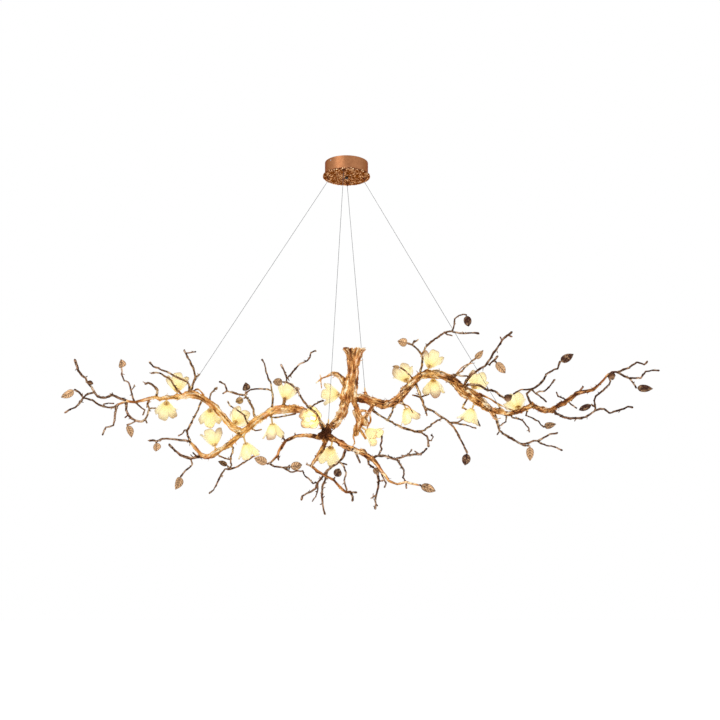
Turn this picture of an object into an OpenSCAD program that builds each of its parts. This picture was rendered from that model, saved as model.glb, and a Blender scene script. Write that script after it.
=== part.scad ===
// Branch chandelier: a cast copper bough hung from a round canopy by four steel cables,
// with thin twigs, copper leaves and glass flowers that hold small capsule lamps.
// Origin: centre of the canopy's top face, at the ceiling. +Z up, +X along the bough, -Y to the front.

/* [Overall] */
// Height from the ceiling down to the middle of the boughs
drop = 830; // [600:10:1400]
// Length of the whole bough from twig tip to twig tip
bough_length = 1990; // [1900:10:2200]
// Thickness of the boughs and the trunk against the model as drawn
bough_girth = 1; // [0.9:0.02:1.1]

/* [Canopy] */
// Outer diameter of the canopy cup
cup_d = 150; // [145:1:175]
// Height of the canopy cup
cup_h = 44; // [40:1:60]
// Wall of the canopy cup
cup_wall = 1.5; // [1:0.1:2.2]
// Floor of the canopy cup
cup_floor = 2; // [1.5:0.1:3]
// How far the cast plate stands out past the cup
plate_lip = 7.5; // [4:0.5:14]
// Thickness of the cast plate under the cup
plate_t = 8; // [6:0.5:12]
// Rounding of the cast plate's rim
plate_round = 2.5; // [1:0.5:2.9]

/* [Ceiling bracket] */
// Thickness of the bracket and its lugs
bracket_t = 2; // [1.5:0.1:3]
// Diameter of the bracket's disc
bracket_d = 130; // [120:1:136]
// Distance between the two screw holes
bracket_hole_gap = 90; // [84:1:100]
// Diameter of the screw holes
bracket_hole_d = 5.5; // [4:0.1:6.5]
// Diameter of the hole for the mains wires
mains_hole_d = 16; // [12:1:18]
// Length of the lugs that hold the cup
lug_l = 14; // [12:1:18]
// Width of the lugs
lug_w = 12; // [9:1:16]
// Diameter of the set screws through cup and lugs
set_screw_d = 4; // [3:0.5:5]

/* [Supply] */
// Length of the lamp driver
driver_l = 86; // [60:1:92]
// Width of the lamp driver
driver_w = 30; // [24:1:32]
// Height of the lamp driver
driver_h = 22; // [16:1:26]
// Length of the terminal block
terminal_l = 30; // [20:1:40]
// Bore of the two cord bushes
bush_bore_d = 7; // [5:0.5:8]
// Outer diameter of the cord bushes
bush_d = 12; // [11:0.5:13]

/* [Cable grippers] */
// How far a gripper's axis stands in from the cup's outside
gripper_inset = 11; // [10.5:0.5:13]
// Outer diameter of the gripper barrel
barrel_d = 10; // [9:0.5:12]
// Height of the barrel above the plate's underside
barrel_h = 30; // [26:1:32]
// Diameter of the release plunger's nose
plunger_d = 4.8; // [4:0.2:5]
// How far the plunger stands out below its barrel
plunger_out = 4; // [3:0.5:6]
// Travel of the release plunger
plunger_travel = 2; // [1:0.5:2.5]
// Diameter of the suspension cables
cable_d = 1.5; // [1:0.1:2]
// Length of the ferrule at the cable's lower end
ferrule_l = 16; // [12:1:24]
// Diameter of the ferrule
ferrule_d = 5; // [4:0.5:7]

/* [Lamps] */
// Number of petals on a glass flower
petals = 5; // [4:1:7]
// Diameter of a flower across its petal tips
flower_d = 80; // [70:1:86]
// Height of a flower
flower_h = 46; // [42:1:50]
// Thickness of the glass
glass_t = 2.4; // [2:0.1:3]
// Diameter of the lamp holder's barrel
holder_d = 14; // [13:0.5:15]
// Diameter of the capsule lamp
bulb_d = 9.5; // [8:0.5:10]
// Length of the capsule lamp
bulb_l = 30; // [24:1:34]

/* [Twigs and leaves] */
// Thickness of the twigs against the model as drawn
twig_girth = 1; // [0.8:0.05:1.2]
// Thickness of a leaf
leaf_t = 1.2; // [0.8:0.1:2]

/* [Hidden] */
$fn = 48;

// Colours
copper = "#b8794f";
bark = "#b9772f";
dark_bark = "#5d4230";
leaf_copper = "#8a4f2e";
steel = "#c9ccd0";
brass = "#c9a24a";
amber_glass = [1, 0.87, 0.55, 0.5];
lamp_glass = "#fff6dc";

// Clearances
fit_gap = 0.1;      // round pieces that slide or seat in each other
seat_gap = 0.2;     // pieces that only stand side by side
braze_gap = 0.05;   // between a twig's coped foot and the bough that carries it

// Canopy
plate_z = -cup_h - plate_t;
inner_r = cup_d / 2 - cup_wall;
gripper_r = cup_d / 2 - gripper_inset;
lug_angles = [45, 225];
screw_z = -bracket_t - lug_l / 2;
driver_y = -25;
terminal_y = 29;
terminal_h = 14;
bush_flange_d = 18;
bush_flange_t = 2;
trunk_hollow = 28;

// Grippers
gripper_head = 2;         // thickness of the barrel's head under the plate
gripper_head_d = 14;
nut_h = 5;
nut_d = 16;               // across the corners
shoulder = 4;             // the plunger's guide ends this far above the plate's underside
collar_h = 3;
spring_top = barrel_h - 3;
guide_d = plunger_d + 2 * fit_gap;
chamber_d = barrel_d - 3.2;
cable_bore_d = cable_d + 0.8;
nozzle_z = plate_z - gripper_head - plunger_out;

// Lamps
peg_out = 3;              // the cast peg that carries a holder stands this far out of its bough
flange_h = 2.5;
flange_d = holder_d + 5;
holder_up = 9;            // height of the holder's barrel above its flange
socket_deep = 6;

// ---- Vectors and routes -------------------------------------------------------------------------

function unit(v) = v / norm(v);
function xyz(p) = [p[0], p[1], p[2]];
function any_side(t) = unit(cross(t, abs(t[1]) < 0.8 ? [0, 1, 0] : [1, 0, 0]));
function heading(c, i) = unit(xyz(c[min(i + 1, len(c) - 1)]) - xyz(c[max(i - 1, 0)]));

// Ring axes along a route, each the last one turned no more than the bend asks
function carried(c, i, u) = i >= len(c) ? [] :
    let (t = heading(c, i), n = unit(u - t * (u * t)))
    concat([n], carried(c, i + 1, n));

// A closed tube along the points c, whose radius at each point is in radii
module sweep(c, radii, sides) {
    axes = carried(c, 0, any_side(heading(c, 0)));
    last = len(c) - 1;
    rings = [for (i = [0 : last])
        let (t = heading(c, i), n = axes[i], b = cross(t, n))
        for (k = [0 : sides - 1])
            xyz(c[i]) + radii[i] * (cos(k * 360 / sides) * n + sin(k * 360 / sides) * b)];
    walls = [for (i = [0 : last - 1], k = [0 : sides - 1])
        let (a = i * sides + k, b = i * sides + (k + 1) % sides)
        each [[a, a + sides, b], [b, a + sides, b + sides]]];
    foot = [for (k = [0 : sides - 1]) k];
    top = [for (k = [sides - 1 : -1 : 0]) last * sides + k];
    polyhedron(rings, concat([foot], walls, [top]));
}

// A smooth curve through the points c, with steps pieces between each pair
function curve_point(a, b, c, d, t) = 0.5 * (2 * b + t * (c - a) + t * t * (2 * a - 5 * b + 4 * c - d)
    + t * t * t * (3 * b - a - 3 * c + d));
function smooth(c, steps) = [for (i = [0 : len(c) - 2], s = [0 : steps - 1])
    curve_point(c[max(i - 1, 0)], c[i], c[i + 1], c[min(i + 2, len(c) - 1)], s / steps), c[len(c) - 1]];

// ---- The drawing of the boughs ------------------------------------------------------------------
// The boughs are drawn as a front elevation in millimetres. A point is [x, h, y]: x to the right of the
// canopy's axis, h above the middle of the boughs, y the depth behind the trunk. The elevation is what
// an eye sees that stands in front of the trunk and a little below it, so a point off the trunk's plane
// moves along its sight line, and the front view stays as drawn.
eye_away = 3000;     // from the trunk's plane
eye_right = 47;      // right of the canopy's axis
eye_below = 360;     // below the middle of the boughs
eye_tilt = 9.4;      // looking up
sheet_away = 3020;   // from the eye to the drawn sheet
sheet_up = 133;      // the sheet's middle above the middle of the boughs
drawn_length = 1990;
span = bough_length / drawn_length;

function spot(p) =
    let (up = p[1] - sheet_up,
        forward = sheet_away * cos(eye_tilt) - up * sin(eye_tilt),
        rise = sheet_away * sin(eye_tilt) + up * cos(eye_tilt),
        k = (eye_away + p[2]) / forward)
    [span * (eye_right + (p[0] - eye_right) * k), span * p[2], span * (rise * k - eye_below) - drop];
function placed(route) = [for (p = route) concat(spot(p), p[3] == undef ? [] : [p[3]])];

// ---- Boughs: [x, h, y, radius] ------------------------------------------------------------------
trunk_line = [[11, -4, 0, 20], [10, 16, 0, 27], [13, 38, 0, 25], [18, 60, 0, 22], [23, 84, 0, 20],
    [24, 108, 0, 20.5], [25, 132, 0, 23.5], [26, 148, 0, 26.5], [27, 160, 0, 29], [27, 168, 0, 32]];
left_leg = [[4, 14, 0, 19], [-2, -2, -6, 17.5], [-5, -22, -20, 15], [-14, -46, -42, 14.5],
    [-29, -69, -68, 14], [-46, -90, -90, 13]];
right_leg = [[18, 10, 0, 14], [26, -6, 0, 11], [35, -24, 2, 9.5], [36, -46, 2, 10], [46, -64, 0, 13],
    [42, -84, 0, 10.5], [38, -102, -2, 8.5], [35, -118, -4, 6.5]];
right_strand = [[54, -68, 2, 10], [68, -52, 2, 7.5], [82, -34, 0, 6.5], [92, -12, -2, 8]];
stub_branch = [[6, 44, 0, 10], [-13, 72, -4, 10], [-32, 86, -8, 8.5], [-48, 86, -10, 6],
    [-64, 78, -12, 3.5], [-83, 71, -14, 3]];

left_line = [[-64, -104, -100, 9], [-93, -66, -62, 9], [-131, -38, -30, 10], [-167, -33, -8, 12],
    [-197, -30, 0, 13.5], [-213, -31, 4, 14], [-251, -37, 10, 13], [-274, -54, 14, 12],
    [-298, -68, 18, 12], [-321, -89, 20, 12.5], [-345, -110, 20, 13.5], [-380, -92, 16, 12],
    [-407, -57, 12, 11.5], [-430, -32, 8, 11], [-453, -11, 4, 10.5], [-477, 6, 2, 10.5],
    [-500, 15, 0, 11], [-523, 18, 0, 12.5], [-540, 13, -4, 11], [-563, 9, -8, 8],
    [-598, 8, -14, 7], [-621, 2, -18, 8], [-633, 10, -20, 7], [-657, 4, -25, 6],
    [-680, -2, -28, 5.5], [-703, -8, -30, 5], [-731, -4, -30, 5], [-760, -15, -26, 4.5]];
left_low_line = [[-345, -113, 20, 9.5], [-367, -128, 12, 9], [-387, -145, 4, 8.5], [-410, -162, -6, 8],
    [-432, -176, -16, 8.5], [-449, -188, -26, 8], [-470, -189, -34, 7.5], [-483, -182, -40, 6.5],
    [-500, -163, -46, 5], [-517, -143, -52, 4.5]];
right_line = [[12, 8, 0, 13], [33, 6, 0, 14.5], [57, 5, 0, 16.5], [80, -2, -2, 15], [103, -9, -4, 14.5],
    [127, -14, -6, 14], [147, -12, -8, 14], [164, -5, -8, 14], [182, 9, -8, 14], [196, 27, -6, 13.5],
    [210, 46, -4, 13], [229, 65, 0, 13], [248, 81, 4, 13], [269, 88, 8, 13], [292, 88, 10, 13],
    [316, 84, 10, 13], [339, 74, 10, 13], [353, 67, 8, 13.5], [370, 52, 6, 14.5], [387, 32, 4, 16],
    [414, 19, 0, 17], [433, 4, -4, 18], [452, -10, -8, 16], [471, -25, -10, 13], [490, -37, -12, 11],
    [526, -41, -12, 9.5]];
outer_line = [[512, -40, -12, 6.5], [547, -47, -8, 8], [580, -37, -2, 7.5], [608, -25, 4, 8],
    [620, -15, 6, 9], [639, -28, 6, 8], [671, -36, 2, 7], [688, -32, 0, 7], [714, -17, -6, 7],
    [735, -3, -12, 7], [757, 12, -18, 6.5], [776, 26, -24, 6.5], [798, 28, -28, 5.5],
    [821, 34, -32, 5], [838, 46, -36, 4.5], [856, 64, -40, 4.5], [874, 84, -44, 4],
    [887, 93, -46, 4], [903, 93, -48, 4]];
knot = [-74, -116, -110];
front_left_line = [concat(knot, [12]), [-89, -127, -114, 8], [-110, -121, -122, 6.5],
    [-142, -118, -134, 6], [-168, -121, -144, 6], [-189, -132, -152, 5.5], [-202, -138, -156, 5.5],
    [-212, -153, -162, 5], [-223, -170, -168, 4.5], [-227, -185, -172, 4.5], [-238, -196, -176, 4],
    [-248, -206, -180, 3.5]];
front_right_line = [concat(knot, [12]), [-43, -128, -122, 10], [-22, -141, -132, 9.5],
    [0, -158, -142, 9.5], [27, -164, -152, 9], [51, -175, -162, 8.5], [72, -188, -172, 8.5],
    [87, -194, -180, 8], [98, -207, -188, 7.5], [108, -220, -196, 6.5], [119, -239, -204, 5.5],
    [132, -254, -212, 5], [144, -271, -220, 4.5], [171, -281, -232, 4], [200, -274, -242, 4],
    [215, -278, -248, 3.5], [244, -284, -258, 3]];
front_down_line = [concat(knot, [11]), [-68, -137, -114, 8.5], [-75, -156, -122, 8],
    [-87, -177, -132, 7], [-98, -194, -140, 6.5], [-107, -207, -148, 6], [-115, -220, -154, 5.5],
    [-96, -237, -160, 5], [-79, -247, -166, 4.5], [-62, -256, -172, 4.5], [-41, -266, -178, 4.5],
    [-26, -284, -184, 4.5], [-13, -298, -188, 4.5], [0, -307, -192, 4.5], [17, -308, -196, 4.5]];

function line_of(name) =
    name == "trunk" ? trunk_line : name == "right_leg" ? right_leg :
    name == "left" ? left_line : name == "left_low" ? left_low_line :
    name == "right" ? right_line : name == "outer" ? outer_line :
    name == "front_left" ? front_left_line : front_right_line;

// ---- Twigs: [foot radius, tip radius, points, leaf reach and width] -------------------------------
// A twig's first point lies in what carries it. A leaf is given by how far its tip lies from the twig's
// tip, along x, h and y, and by its width.
far_left = [
    [4.5, 3.5, [left_line[26], [-750, 4, -36], [-767, 11, -42], [-781, 17, -46], [-802, 8, -52],
        [-815, 8, -56], [-828, 13, -58], [-838, 25, -60], [-846, 40, -62], [-863, 61, -66],
        [-866, 73, -68], [-880, 82, -72], [-893, 101, -76], [-903, 132, -80]]],
    [3.5, 2.8, [[-838, 25, -60], [-857, 21, -60], [-867, 17, -62], [-876, 8, -64], [-878, 9, -66],
        [-884, 19, -70], [-893, 29, -74], [-904, 34, -78]], [-35, -25, -14], 25],
    [3.5, 2.5, [[-876, 8, -64], [-884, -6, -72], [-893, -17, -82], [-901, -24, -90], [-916, -29, -100],
        [-936, -42, -112]]],
    [4, 3, [left_line[27], [-773, -24, -24], [-792, -26, -26], [-809, -22, -32], [-827, -13, -42],
        [-846, 0, -54], [-863, 5, -60], [-876, 8, -64]]],
    [3, 2, [[-809, -22, -32], [-806, -14, -24], [-792, -11, -20], [-775, -12, -20]]],
    [3.2, 2.2, [left_line[25], [-712, 13, -22], [-715, 31, -14], [-719, 42, -8], [-725, 59, 0],
        [-738, 65, 6], [-747, 86, 12], [-747, 105, 16]], [-6, 30, 8], 27],
    [2.4, 1.8, [[-715, 31, -14], [-709, 40, -6], [-706, 50, 2]]],
    [2.6, 2.2, [[-863, 61, -66], [-856, 58, -64]], [10, -3, 4], 11],
    [4, 2.5, [left_line[27], [-770, -46, -44], [-772, -69, -62], [-776, -85, -74], [-801, -92, -88],
        [-811, -116, -98]]],
    [4, 3.5, [left_line[26], [-733, -34, -16], [-726, -50, -4], [-712, -62, 8], [-698, -70, 16],
        [-680, -73, 18], [-668, -64, 12], [-660, -48, 0], [-656, -29, -12], [-661, -15, -20],
        left_line[23]]],
    [2.6, 2, [[-726, -50, -4], [-736, -58, -6]]],
    [2.8, 2.2, [[-698, -70, 16], [-708, -76, 22], [-729, -83, 30]], [13, -39, 10], 24],
    [2.6, 2, [[-668, -64, 12], [-664, -76, 16]]],
    [3, 2, [left_line[25], [-688, -21, -20], [-670, -34, -8], [-677, -50, 4]]],
    [3, 2, [[-656, -29, -12], [-646, -28, -18], [-635, -28, -26]]],
    [5, 3, [left_line[22], [-628, 32, -34], [-635, 43, -44], [-647, 53, -54], [-659, 58, -62],
        [-668, 54, -68]]]];
left_top = [
    [5, 3, [left_line[17], [-514, 37, 6], [-512, 50, 12], [-504, 67, 20], [-500, 76, 24],
        [-504, 90, 28], [-511, 111, 34], [-523, 135, 40], [-535, 156, 46], [-539, 166, 48]]],
    [2.6, 2, [[-500, 76, 24], [-488, 85, 22]]],
    [2.6, 2, [[-535, 156, 46], [-523, 156, 42], [-502, 161, 36]]],
    [4, 2.6, [left_line[17], [-521, 44, -18], [-529, 62, -38], [-565, 75, -56], [-577, 83, -60],
        [-598, 95, -66], [-621, 103, -70], [-642, 113, -72], [-654, 125, -74]]],
    [3.5, 2.4, [left_line[18], [-560, 30, -22], [-588, 71, -34], [-605, 80, -36], [-619, 89, -38],
        [-633, 92, -38], [-648, 89, -38]]],
    [3, 2.4, [left_line[14], [-451, 20, 16], [-439, 32, 26]], [8, 10, 4], 10],
    [4.5, 3, [left_line[8], [-305, -52, 26], [-309, -31, 36], [-319, -8, 46], [-333, 9, 54],
        [-335, 16, 58], [-356, 19, 66], [-375, 25, 72], [-396, 28, 78], [-405, 53, 84],
        [-419, 59, 88]]],
    [2.6, 2, [[-396, 28, 78], [-409, 22, 84]]],
    [3, 2.4, [[-335, 16, 58], [-328, 27, 54], [-317, 35, 46], [-286, 36, 30], [-260, 35, 22],
        [-247, 30, 22]]],
    [2.6, 2.4, [[-335, 16, 58], [-334, 28, 64]], [-2, 30, 10], 28],
    [2.6, 2.4, [[-333, 9, 54], [-340, 5, 48]], [-24, -12, -8], 24],
    [3.5, 2.2, [left_line[9], [-328, -75, 8], [-341, -50, -2], [-352, -40, -4], [-370, -29, -4],
        [-389, -17, -2], [-394, -6, 2]]],
    [4, 2.6, [left_line[6], [-246, -19, 14], [-244, -8, 18], [-244, 12, 22], [-246, 32, 26],
        [-251, 58, 32], [-260, 77, 38], [-267, 98, 44], [-271, 121, 50], [-281, 133, 54]]],
    [5, 5, [left_line[5], [-208, -14, 0], [-203, 2, -4]]],
    [3, 2.5, [left_line[6], [-253, -57, 8], [-236, -60, 2], [-218, -57, -4], [-190, -51, -10],
        [-167, -47, -12]]],
    [3, 2, [left_line[9], [-302, -104, 8], [-281, -98, 0]]]];
left_low = [
    [4.5, 2.6, [left_low_line[9], [-525, -136, -56], [-548, -134, -64], [-580, -130, -76],
        [-612, -130, -88], [-631, -136, -94], [-655, -135, -100]]],
    [2.6, 2.4, [[-631, -136, -94], [-632, -140, -96]], [2, -28, -8], 26],
    [4, 3, [left_low_line[9], [-527, -119, -48], [-529, -101, -42], [-518, -80, -34], [-503, -53, -24],
        [-492, -28, -12], left_line[15]]],
    [3, 2, [[-529, -101, -42], [-536, -100, -44], [-547, -113, -52], [-558, -120, -58]]],
    [5.5, 3.2, [left_low_line[6], [-495, -190, -36], [-517, -195, -38], [-538, -190, -42],
        [-555, -181, -48], [-572, -166, -56], [-589, -149, -64]]],
    [3, 2, [[-495, -190, -36], [-508, -177, -38]]],
    [3, 2.6, [[-517, -195, -38], [-513, -217, -32], [-525, -227, -28], [-542, -244, -22],
        [-550, -254, -18]], [-17, -40, 8], 27],
    [3.5, 2.6, [left_low_line[2], [-374, -160, 24], [-380, -180, 44], [-385, -199, 62],
        [-382, -218, 80], [-387, -230, 92]]],
    [3, 2, [[-385, -199, 62], [-402, -194, 56], [-423, -186, 50]]],
    [3.5, 2.5, [[-387, -230, 92], [-404, -232, 100], [-421, -259, 112], [-432, -283, 124],
        [-442, -300, 134], [-455, -311, 144]]],
    [3.5, 2.4, [[-387, -230, 92], [-359, -222, 96], [-338, -208, 98], [-317, -193, 98],
        [-303, -187, 98]]],
    [2.6, 2.4, [[-387, -230, 92], [-393, -220, 86]], [-30, 14, -6], 17]];
front_left = [
    [4, 2.8, [[-76, -104, -116], [-80, -84, -144], [-91, -59, -152], [-103, -40, -148],
        [-119, -29, -140], [-129, -19, -130], [-143, -3, -120], [-155, 18, -106], [-164, 37, -100],
        [-180, 49, -92], [-199, 60, -84], [-197, 70, -80], [-201, 81, -76], [-208, 100, -70],
        [-215, 115, -66]]],
    [3, 2.4, [[-197, 70, -80], [-180, 88, -78], [-167, 105, -76], [-155, 119, -74], [-131, 130, -72],
        [-119, 144, -72], [-117, 156, -72], [-101, 164, -72]]],
    [3, 2, [[-119, -29, -140], [-105, -15, -142], [-75, -2, -150]]],
    [2.6, 2.4, [[-199, 60, -84], [-208, 60, -86]], [-31, -1, -8], 25],
    [2.6, 2, [front_left_line[4], [-170, -112, -150]]],
    [3, 2, [front_left_line[9], [-225, -200, -178]]],
    [3, 2.6, [front_left_line[11], [-260, -213, -186]], [-38, 16, -10], 26],
    [3, 2.6, [[-256, -210, -184], [-238, -223, -186], [-210, -225, -190], [-188, -224, -194]],
        [36, 6, -8], 26],
    [2.8, 2.2, [[-210, -225, -190], [-186, -240, -188], [-144, -236, -180], [-136, -253, -176],
        [-123, -264, -172], [-110, -278, -168], [-100, -275, -166]]],
    [3, 2.2, [front_left_line[6], [-206, -132, -166], [-210, -122, -174]]]];
front_right = [
    [3.5, 2.6, [front_right_line[4], [35, -183, -150], [42, -197, -148], [48, -209, -146]]],
    [3.5, 3, [front_right_line[6], [76, -215, -170], [91, -224, -172]], [14, -20, -6], 20],
    [4, 2.6, [front_right_line[9], [106, -249, -190], [110, -271, -186], [108, -292, -180],
        [102, -315, -174], [98, -335, -170], [100, -347, -168], [98, -362, -166]]],
    [2.6, 2, [[110, -271, -186], [121, -268, -188]]],
    [2.6, 2, [[102, -315, -174], [85, -327, -170]]],
    [2.6, 2, [[100, -347, -168], [105, -352, -172]]],
    [3, 2, [front_right_line[10], [121, -258, -198], [134, -277, -194], [129, -292, -192]]],
    [4.5, 3, [front_right_line[7], [108, -186, -172], [127, -187, -166], [146, -192, -160],
        [161, -198, -156], [181, -193, -150], [200, -186, -144], [219, -184, -138], [244, -182, -130],
        [257, -175, -124], [269, -164, -118]]],
    [2.6, 2, [[200, -186, -144], [210, -180, -150], [220, -167, -154]]],
    [2.6, 2, [[244, -182, -130], [231, -171, -128]]],
    [3.5, 2, [[161, -198, -156], [171, -201, -164], [183, -219, -180], [192, -234, -196],
        [194, -247, -210], [189, -259, -224], [198, -270, -238], front_right_line[14]]],
    [2.6, 2, [front_right_line[14], [202, -293, -244]]],
    [3.5, 2.4, [[108, -186, -172], [113, -177, -174], [119, -163, -176], [114, -150, -176],
        [121, -138, -174], [119, -121, -170]]],
    [3, 2.8, [front_right_line[16], [246, -285, -259]], [43, -16, -12], 25]];
front_low = [
    [4.5, 3, [front_right_line[3], [-7, -186, -146], [-22, -205, -146], [-43, -220, -144],
        [-62, -237, -140], [-80, -257, -134], [-94, -277, -128], [-102, -296, -122],
        [-126, -309, -116], [-145, -320, -110], [-148, -330, -108]]],
    [3, 2, [[-94, -277, -128], [-94, -301, -120], [-100, -322, -114], [-109, -333, -110]]],
    [4, 2.6, [[-62, -237, -140], [-68, -264, -136], [-77, -284, -132], [-79, -301, -128],
        [-80, -322, -122], [-78, -341, -118], [-75, -364, -112], [-70, -380, -108]]],
    [3, 2.4, [[-22, -205, -146], [-15, -211, -152], [-5, -226, -160], [0, -243, -168],
        [-5, -269, -176], [-2, -286, -182], [2, -300, -188], front_down_line[13]]],
    [2.6, 2, [[-15, -211, -152], [3, -215, -150]]],
    [2.6, 2, [front_down_line[6], [-131, -215, -158]]],
    [3, 2.4, [front_down_line[14], [34, -309, -200]]],
    [4, 3, [front_down_line[14], [22, -322, -196], [21, -335, -196]]],
    [2.6, 2.4, [front_down_line[10], [-36, -258, -184]], [12, 24, -8], 26]];
right_top = [
    [4, 3, [right_line[12], [250, 102, -6], [254, 116, -14], [255, 130, -18], [253, 151, -18],
        [245, 161, -16], [234, 173, -12], [220, 184, -6], [208, 189, 0]], [-32, 8, 8], 29],
    [2.4, 1.8, [[220, 184, -6], [227, 197, -4]]],
    [2.4, 1.8, [[220, 184, -6], [241, 202, -8]]],
    [3.5, 3, [[253, 151, -18], [267, 177, -14], [281, 191, -8], [299, 205, 0], [328, 225, 10],
        [353, 228, 6], [380, 222, -4], [405, 223, -14], [424, 224, -20], [442, 221, -26]]],
    [2.6, 2, [[328, 225, 16], [339, 217, 8], [354, 215, 2]]],
    [2.8, 2.4, [[353, 228, 6], [358, 239, 6], [362, 257, 8], [363, 270, 10], [377, 281, 10],
        [392, 284, 8], [401, 283, 6]], [6, -38, -6], 26],
    [4.5, 3.5, [right_line[19], [398, 57, -18], [409, 74, -28], [420, 88, -36], [432, 93, -42],
        [447, 103, -48], [463, 112, -54], [470, 122, -58], [480, 135, -62], [486, 147, -66],
        [493, 158, -70], [505, 174, -74], [514, 187, -78], [519, 197, -80], [528, 206, -82],
        [541, 216, -84], [552, 224, -86]]],
    [2.6, 2, [[519, 197, -80], [515, 210, -84]]],
    [2.6, 2, [[541, 216, -84], [553, 211, -88]]],
    [3.5, 3, [[470, 122, -58], [478, 116, -62], [492, 132, -68], [505, 145, -72]]],
    [2.6, 2.4, [[492, 132, -68], [499, 127, -74]], [27, -37, -12], 26],
    [3.2, 2.6, [right_line[17], [375, 88, 20], [390, 101, 30], [405, 116, 40], [420, 128, 46],
        [430, 136, 48]], [28, 30, 8], 20],
    [3.5, 2.6, [right_line[16], [361, 84, -6], [386, 80, -18], [405, 80, -28], [409, 74, -28]]],
    [2.6, 2.4, [right_line[11], [214, 82, -20], [206, 90, -30], [182, 108, -30]], [-24, 4, 4], 12],
    [4.5, 3.2, [right_line[19], [405, 51, -22], [436, 51, -34], [455, 44, -42], [474, 30, -50],
        [482, 34, -54], [497, 28, -58], [514, 15, -60], [530, 4, -58], [536, 5, -58]], [14, 8, -4], 14]];
right_low = [
    [4.5, 3, [right_line[3], [93, -38, 16], [117, -54, 30], [140, -68, 42], [164, -80, 52],
        [187, -92, 60], [210, -99, 66], [234, -106, 72], [253, -110, 78], [270, -121, 84],
        [274, -136, 88], [275, -154, 92]]],
    [2.6, 2, [[274, -136, 88], [284, -136, 92], [292, -123, 96], [284, -117, 100]]],
    [3.5, 3, [[140, -68, 42], [154, -43, 22], right_line[7]]],
    [3.5, 3, [[234, -106, 72], [262, -101, 56], [281, -87, 36], [295, -75, 14], [310, -67, -10],
        [322, -60, -28]]],
    [4.5, 3, [right_line[11], [243, 25, -10], [250, 9, -14], [257, -10, -18], [262, -26, -20],
        [281, -33, -22], [299, -42, -24], [322, -60, -28], [345, -75, -34], [362, -94, -42],
        [374, -115, -50], [385, -138, -58], [395, -155, -64], [404, -176, -70]], [-8, -37, -8], 27],
    [3, 2, [[262, -26, -20], [271, -52, -24]]],
    [3, 2, [[250, 9, -14], [224, 16, -24]]],
    [3, 2, [[250, 9, -14], [276, 18, -24]]],
    [3, 2, [[345, -75, -34], [372, -75, -40], [389, -65, -44]]],
    [3, 2, [[345, -75, -34], [402, -83, -52], [425, -92, -58], [433, -94, -60]]],
    [4, 2.6, [right_line[20], [398, -8, 24], [388, -27, 34], [414, -37, 44], [433, -56, 52],
        [446, -86, 60]]],
    [4.5, 3.2, [right_line[24], [503, -67, 4], [508, -90, 14], [512, -102, 20], [523, -112, 26],
        [544, -125, 34], [565, -136, 42], [584, -147, 50], [599, -147, 54], [625, -136, 62],
        [639, -138, 66], [661, -125, 74], [680, -115, 82], [703, -110, 90]]],
    [2.6, 2, [[512, -102, 20], [504, -115, 16]]],
    [3.5, 2.4, [[639, -138, 66], [646, -142, 68], [667, -153, 76], [688, -155, 84], [705, -161, 90],
        [720, -169, 96]]],
    [3, 2.4, [[584, -147, 50], [598, -154, 58], [613, -154, 64]], [1, -46, 10], 25],
    [3, 2, [right_line[25], [534, -56, 2], [533, -71, 6], [515, -86, 12]]]];
far_right = [
    [4, 2.6, [outer_line[18], [914, 95, -50], [928, 102, -54], [946, 108, -60], [954, 117, -64],
        [970, 125, -70], [983, 122, -76], [995, 117, -80], [1005, 127, -84]]],
    [4, 2.6, [outer_line[18], [908, 91, -46], [928, 79, -38], [946, 73, -32], [966, 72, -26],
        [983, 72, -20], [990, 84, -16], [999, 94, -12], [1021, 98, -6], [1044, 98, 0]]],
    [3, 2.6, [[946, 73, -32], [957, 57, -30], [964, 46, -28], [968, 40, -28]], [48, -4, -10], 24],
    [2.6, 2.2, [outer_line[17], [887, 84, -50]], [0, -16, -4], 14],
    [3.5, 2.8, [outer_line[16], [881, 64, -34], [876, 50, -26], [856, 30, -10], [832, 12, 8],
        [828, -1, 18], [832, -25, 32], [829, -36, 40]]],
    [4.5, 3, [outer_line[7], [703, -47, 8], [724, -57, 18], [747, -62, 26], [776, -62, 34],
        [798, -57, 38], [814, -48, 40], [829, -36, 40], [847, -30, 42], [861, -30, 44],
        [879, -43, 46], [903, -36, 50], [925, -30, 54], [939, -23, 56], [954, -24, 58]]],
    [2.8, 2, [outer_line[9], [742, -8, -2], [756, -18, 8], [769, -28, 18]]],
    [2.8, 2.4, [[832, -25, 32], [820, -16, 26]], [-44, -18, -8], 20],
    [3, 2.4, [outer_line[11], [791, 44, -34]]],
    [4, 3, [outer_line[4], [608, 6, -22], [602, 20, -34], [619, 35, -40], [642, 49, -48],
        [654, 62, -54], [666, 78, -60], [667, 85, -62], [684, 96, -66], [706, 104, -70],
        [713, 127, -74]], [40, 22, -10], 26],
    [3, 2.2, [[619, 35, -40], [599, 35, -36], [584, 34, -32], [560, 22, -26]]],
    [3, 2.2, [[619, 35, -40], [633, 21, -46], [650, 9, -52], [667, -6, -58]]],
    [3, 2.2, [[633, 21, -46], [644, 28, -56], [661, 30, -66], [673, 38, -74], [684, 51, -80],
        [695, 66, -86]]],
    [2.6, 2, [outer_line[9], [726, 4, -18], [708, 12, -24], [703, 23, -28]]],
    [3, 2.2, [outer_line[1], [556, -60, -14], [574, -64, -20], [588, -66, -26], [599, -81, -34],
        [608, -93, -40], [610, -104, -44]]],
    [3, 2.4, [outer_line[3], [600, -51, 20], [616, -57, 28], [629, -66, 34], [642, -72, 38],
        [650, -83, 42], [659, -89, 46]], [41, 9, 8], 22]];
left_sprays = [far_left, left_top, left_low, front_left];
right_sprays = [front_right, front_low, right_top, right_low, far_right];

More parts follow.
